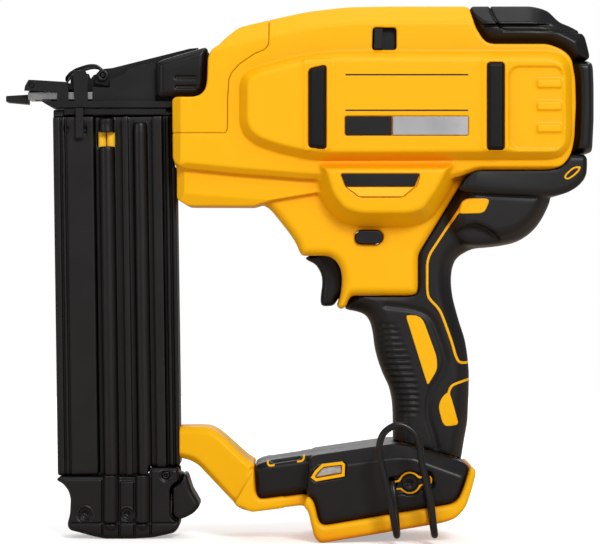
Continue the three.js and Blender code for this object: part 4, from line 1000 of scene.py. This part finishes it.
def plate(name, points, node, slot, replaced=(), look=None, t0=36.9, t1=37.75, edge=0.15):
    """A thin flat plate on the hook side, from t0 to t1 out, with a fine bevel."""
    verts = [((x + SX) * MM, -t * MM, z * MM) for t in (t0, t1) for x, z in points]
    count = len(points)
    faces = [tuple(range(count)), tuple(range(count, 2 * count))[::-1]]
    faces += [(i, (i + 1) % count, (i + 1) % count + count, i + count) for i in range(count)]
    bevel(as_piece(mesh_of(name, verts, faces), node, look, replaced, slot), edge)


def plates():
    """The blank badge and label, in two parts each, and the two rules above them."""
    badge, label = "badge_plate_left", "label_plate_left"
    plate("badge_dark", box_outline(24, 47.4, 206.5, 215.8), badge, "black_plastic", (badge,))
    plate("badge_bright", box_outline(48, 86, 206.5, 215.8), badge, "aluminium")
    for name, z in (("rule_low", 218.6), ("rule_high", 236.6)):
        plate(name, box_outline(24, 86, z, z + 0.7), badge, "black_plastic", t0=37.2, t1=37.5, edge=0.04)
    dark = [(24.2, 180.6), (59, 180.6), (61.5, 186.8), (21.9, 186.8)]
    plate("label_dark", dark, label, "black_plastic", (label,))
    bright = [(31, 175.4), (53, 175.4), (58.6, 180.1), (24.6, 180.1)]
    plate("label_bright", bright, label, "yellow_plastic", look=TAB, t1=37.65)


def lean(mesh):
    """Carries a mesh from the magazine's own frame, whose origin is the middle of its top."""
    top = Matrix.Translation(((MAGAZINE_TOP[0] + SX) * MM, 0, MAGAZINE_TOP[1] * MM))
    turn = Matrix.Rotation(-MAGAZINE_LEAN, 4, "Y")
    mesh.transform(top @ turn @ Matrix.Translation((-SX * MM, 0, 0)))


def extrusion(node, field, shape):
    """A long extrusion of the magazine, with room at its lower end for the end cap's rear block."""
    notch = np.maximum(13.4 - field.X, field.Z - MAGAZINE_LOW - 4)
    mesh = field.mesh(node + "_look", cut(shape, notch))
    keep_largest(mesh)
    lean(mesh)
    smooth_by_angle(mesh, 40)
    as_piece(mesh, node)


def magazine():
    """The track and the cover, in the magazine's own frame: t runs towards the hook side."""
    low = MAGAZINE_LOW
    field = Field((-35, -15.2, low - 2), (31, 13.4, 1), [0.4, 0.4, 1.4])
    shape = field.box(-33.2, -12, -14, 12, low, -4.6, 0.4)
    for part in (
        (-12.5, 23.8, -14, -1.2, low, -4.6), (23.3, 28.4, -14, 12, low, -4.6),
        (27, 29.8, -14, 12, low, -30.6), (-33.2, 28.4, -14, 7.9, -4.7, -0.9),
        (-33.2, 0, -14, 7.9, -1, -0.5),
    ):
        shape = np.minimum(shape, field.box(*part, 0.4))
    shape = cut(shape, field.box(-25, 26.4, -0.9, 0.9, -300, 300))
    for x, width, deep in ((-29.1, 0.5, 1.6), (-26.5, 0.5, 1.6), (24.2, 0.5, 2.6), (27.2, 0.6, 2.6)):
        shape = cut(shape, np.maximum(np.abs(field.X - x) - width, 12 - deep - field.T), 0.25)
    for x in (-33.2, -12, 23.3):
        shape = smax(shape, field.T - 12 + 0.8 - np.abs(field.X - x), 0.2)
    for x in (-27.5, -18.5):
        shape = cut(shape, field.box(x, x + 2.6, 10.8, 30, -12.6, -9.8), 0.3)
    extrusion("magazine_track", field, shape)

    field = Field((-13, 0.4, low - 2), (24.4, 17, 1), [0.36, 0.36, 1.2])
    shape = field.box(-11.6, 22.9, 1.2, 10, low, -5, 0.3)
    for x, radius, top in ((-5.4, 4.1, -6), (11.8, 3.8, -8)):
        tube = np.hypot(field.X - x, field.T - 11.5) - radius
        for z in (-8.4, -10.6):
            tube = tube + 0.5 * np.clip(1 - np.abs(field.Z - z) / 0.8, 0, 1)
        shape = smin(shape, np.maximum(tube, np.maximum(field.Z - top, low - field.Z)), 0.15)
    shape = smin(shape, field.box(2.7, 5.7, 9, 14.4, low, -5, 0.5), 0.15)
    shape = smin(shape, field.box(18.1, 22.9, 9, 13.6, low, -5, 0.5), 0.15)
    shape = cut(shape, field.box(-8.6, 19.6, 1, 8.4, -300, 300))
    shape = cut(shape, field.box(-10.8, -0.8, 8, 20, -20.1, -12.8), 0.2)
    extrusion("magazine_cover", field, shape)


def tabs():
    """The two yellow tabs of the pusher, seen in the window of the magazine's front tube."""
    for word, x in (("front", -8.1), ("rear", -3.5)):
        verts, faces = turned([(1.7, -20.6), (2.1, -20.2), (2.1, -12.6), (1.7, -12.2)], 28)
        places = [Vector((vx + x + SX, vy - 8.6, vz)) * MM for vx, vy, vz in verts]
        mesh = mesh_of("pusher_tab_" + word, places, faces)
        lean(mesh)
        smooth_by_angle(mesh, 30)
        as_piece(mesh, "pusher_tab", TAB, None if word == "front" else ())


def screws():
    """The end cap's, the belt hook's and the housing's screws."""
    for node, x, z in CAP_SCREWS:
        screw(node, x, z, 13.75, 2.9, -3)
    screw("belt_hook_screw", *HOOK_SCREW, 35.05, 4.0, 22, socket=1.8)
    for (x, z, seat), name in zip(HOUSING_SCREWS, ("front", "top", "neck", "arm")):
        screw("housing_screw_" + name, x, z, seat - 0.1, 2.85, -6.9, side=1)


# ---- build
def build():
    """All the pieces: those drawn here, then the rest of the CAD nodes, dressed."""
    for side, word in ((-1, "left"), (1, "right")):
        field, shape = housing(side)
        moulded("housing_" + word, field, shape, side, f"housing_{word}_upper")
        field, shape = lower_housing(side)
        yellow(f"housing_{word}_lower", "housing_" + word, field, shape, side, reduce=0.35)
        grip(side, word)
        foot_cover(side, word)
    front_cover()
    rear_pieces()
    nose_cover()
    end_cap()
    trigger()
    latch_bail()
    hook()
    screws()
    plates()
    magazine()
    tabs()
    looks = {"control_board": BOARD}
    widths = {"lock_off_button": 0.5, "stall_release_lever": 0.5, "lamp_lens": 0.2}
    widths.update({node: 0 for node in SPRINGS})
    for node in [node for node in SLOT_OF if node not in drawn]:
        if node.startswith("side_pad"):
            dress(node, 0.7, PAD)
            continue
        made = dress(node, widths.get(node, 0.3), looks.get(node))
        if node in SPRINGS:
            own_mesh(made)


# ---- room, light and camera
def show_to_camera(tree, seen, otherwise, output):
    """One shader for the camera's own rays and another for all other light."""
    ray = tree.nodes.new("ShaderNodeLightPath")
    mix = tree.nodes.new("ShaderNodeMixShader")
    tree.links.new(ray.outputs["Is Camera Ray"], mix.inputs["Fac"])
    tree.links.new(otherwise, mix.inputs[1])
    tree.links.new(seen, mix.inputs[2])
    tree.links.new(mix.outputs["Shader"], tree.nodes[output].inputs["Surface"])


def studio():
    """A pale floor under four soft lights, and the camera square on to the hook side."""
    paper = bpy.data.materials.new("paper")
    paper.use_nodes = True
    tree = paper.node_tree
    shader = tune(tree.nodes["Principled BSDF"], Base_Color=(0.93, 0.93, 0.93, 1), Roughness=0.75,
                  Emission_Color=(1, 1, 1, 1), Emission_Strength=0.4)
    dim = tune(tree.nodes.new("ShaderNodeBsdfDiffuse"), Color=(0.68, 0.55, 0.44, 1))  # little light back
    show_to_camera(tree, shader.outputs["BSDF"], dim.outputs["BSDF"], "Material Output")
    mesh = bpy.data.meshes.new("floor")
    half = 1.6
    corners = [(-half, -half, 0), (half, -half, 0), (half, half, 0), (-half, half, 0)]
    mesh.from_pydata(corners, [], [(0, 1, 2, 3)])
    floor = placed("floor", mesh)
    mesh.materials.append(paper)

    world = bpy.data.worlds.new("studio")
    world.use_nodes = True
    tree = world.node_tree
    soft = tune(tree.nodes["Background"], Color=(1, 1, 1, 1), Strength=0.22)
    white = tune(tree.nodes.new("ShaderNodeBackground"), Color=(1, 1, 1, 1), Strength=1.0)
    show_to_camera(tree, white.outputs["Background"], soft.outputs["Background"], "World Output")
    bpy.context.scene.world = world
    bpy.context.scene.view_settings.view_transform = "Standard"

    middle = Vector((0.09, 0, 0.14))
    for name, at, power, size in (
        ("key", (0.9, -2.5, 1.7), 66, 0.9),
        ("fill", (-2.2, -1.5, 0.9), 12, 0.7),
        ("top", (0.1, 0.1, 2.4), 12, 1.2),
        ("back", (0.2, 2.6, 1.9), 36, 2.4),
    ):
        lamp = bpy.data.lights.new(name, "AREA")
        lamp.energy = power
        lamp.size = size
        holder = placed(name, lamp)
        holder.location = at
        holder.rotation_euler = (middle - Vector(at)).to_track_quat("-Z", "Y").to_euler()

    camera = bpy.data.cameras.new("camera")
    camera.sensor_width = 36
    camera.lens = 164.7
    camera.clip_end = 50
    holder = placed("camera", camera)
    holder.location = (0.0925, -1.425, 0.1372)
    holder.rotation_euler = (math.pi / 2, 0, 0)
    bpy.context.scene.camera = holder


build()
studio()
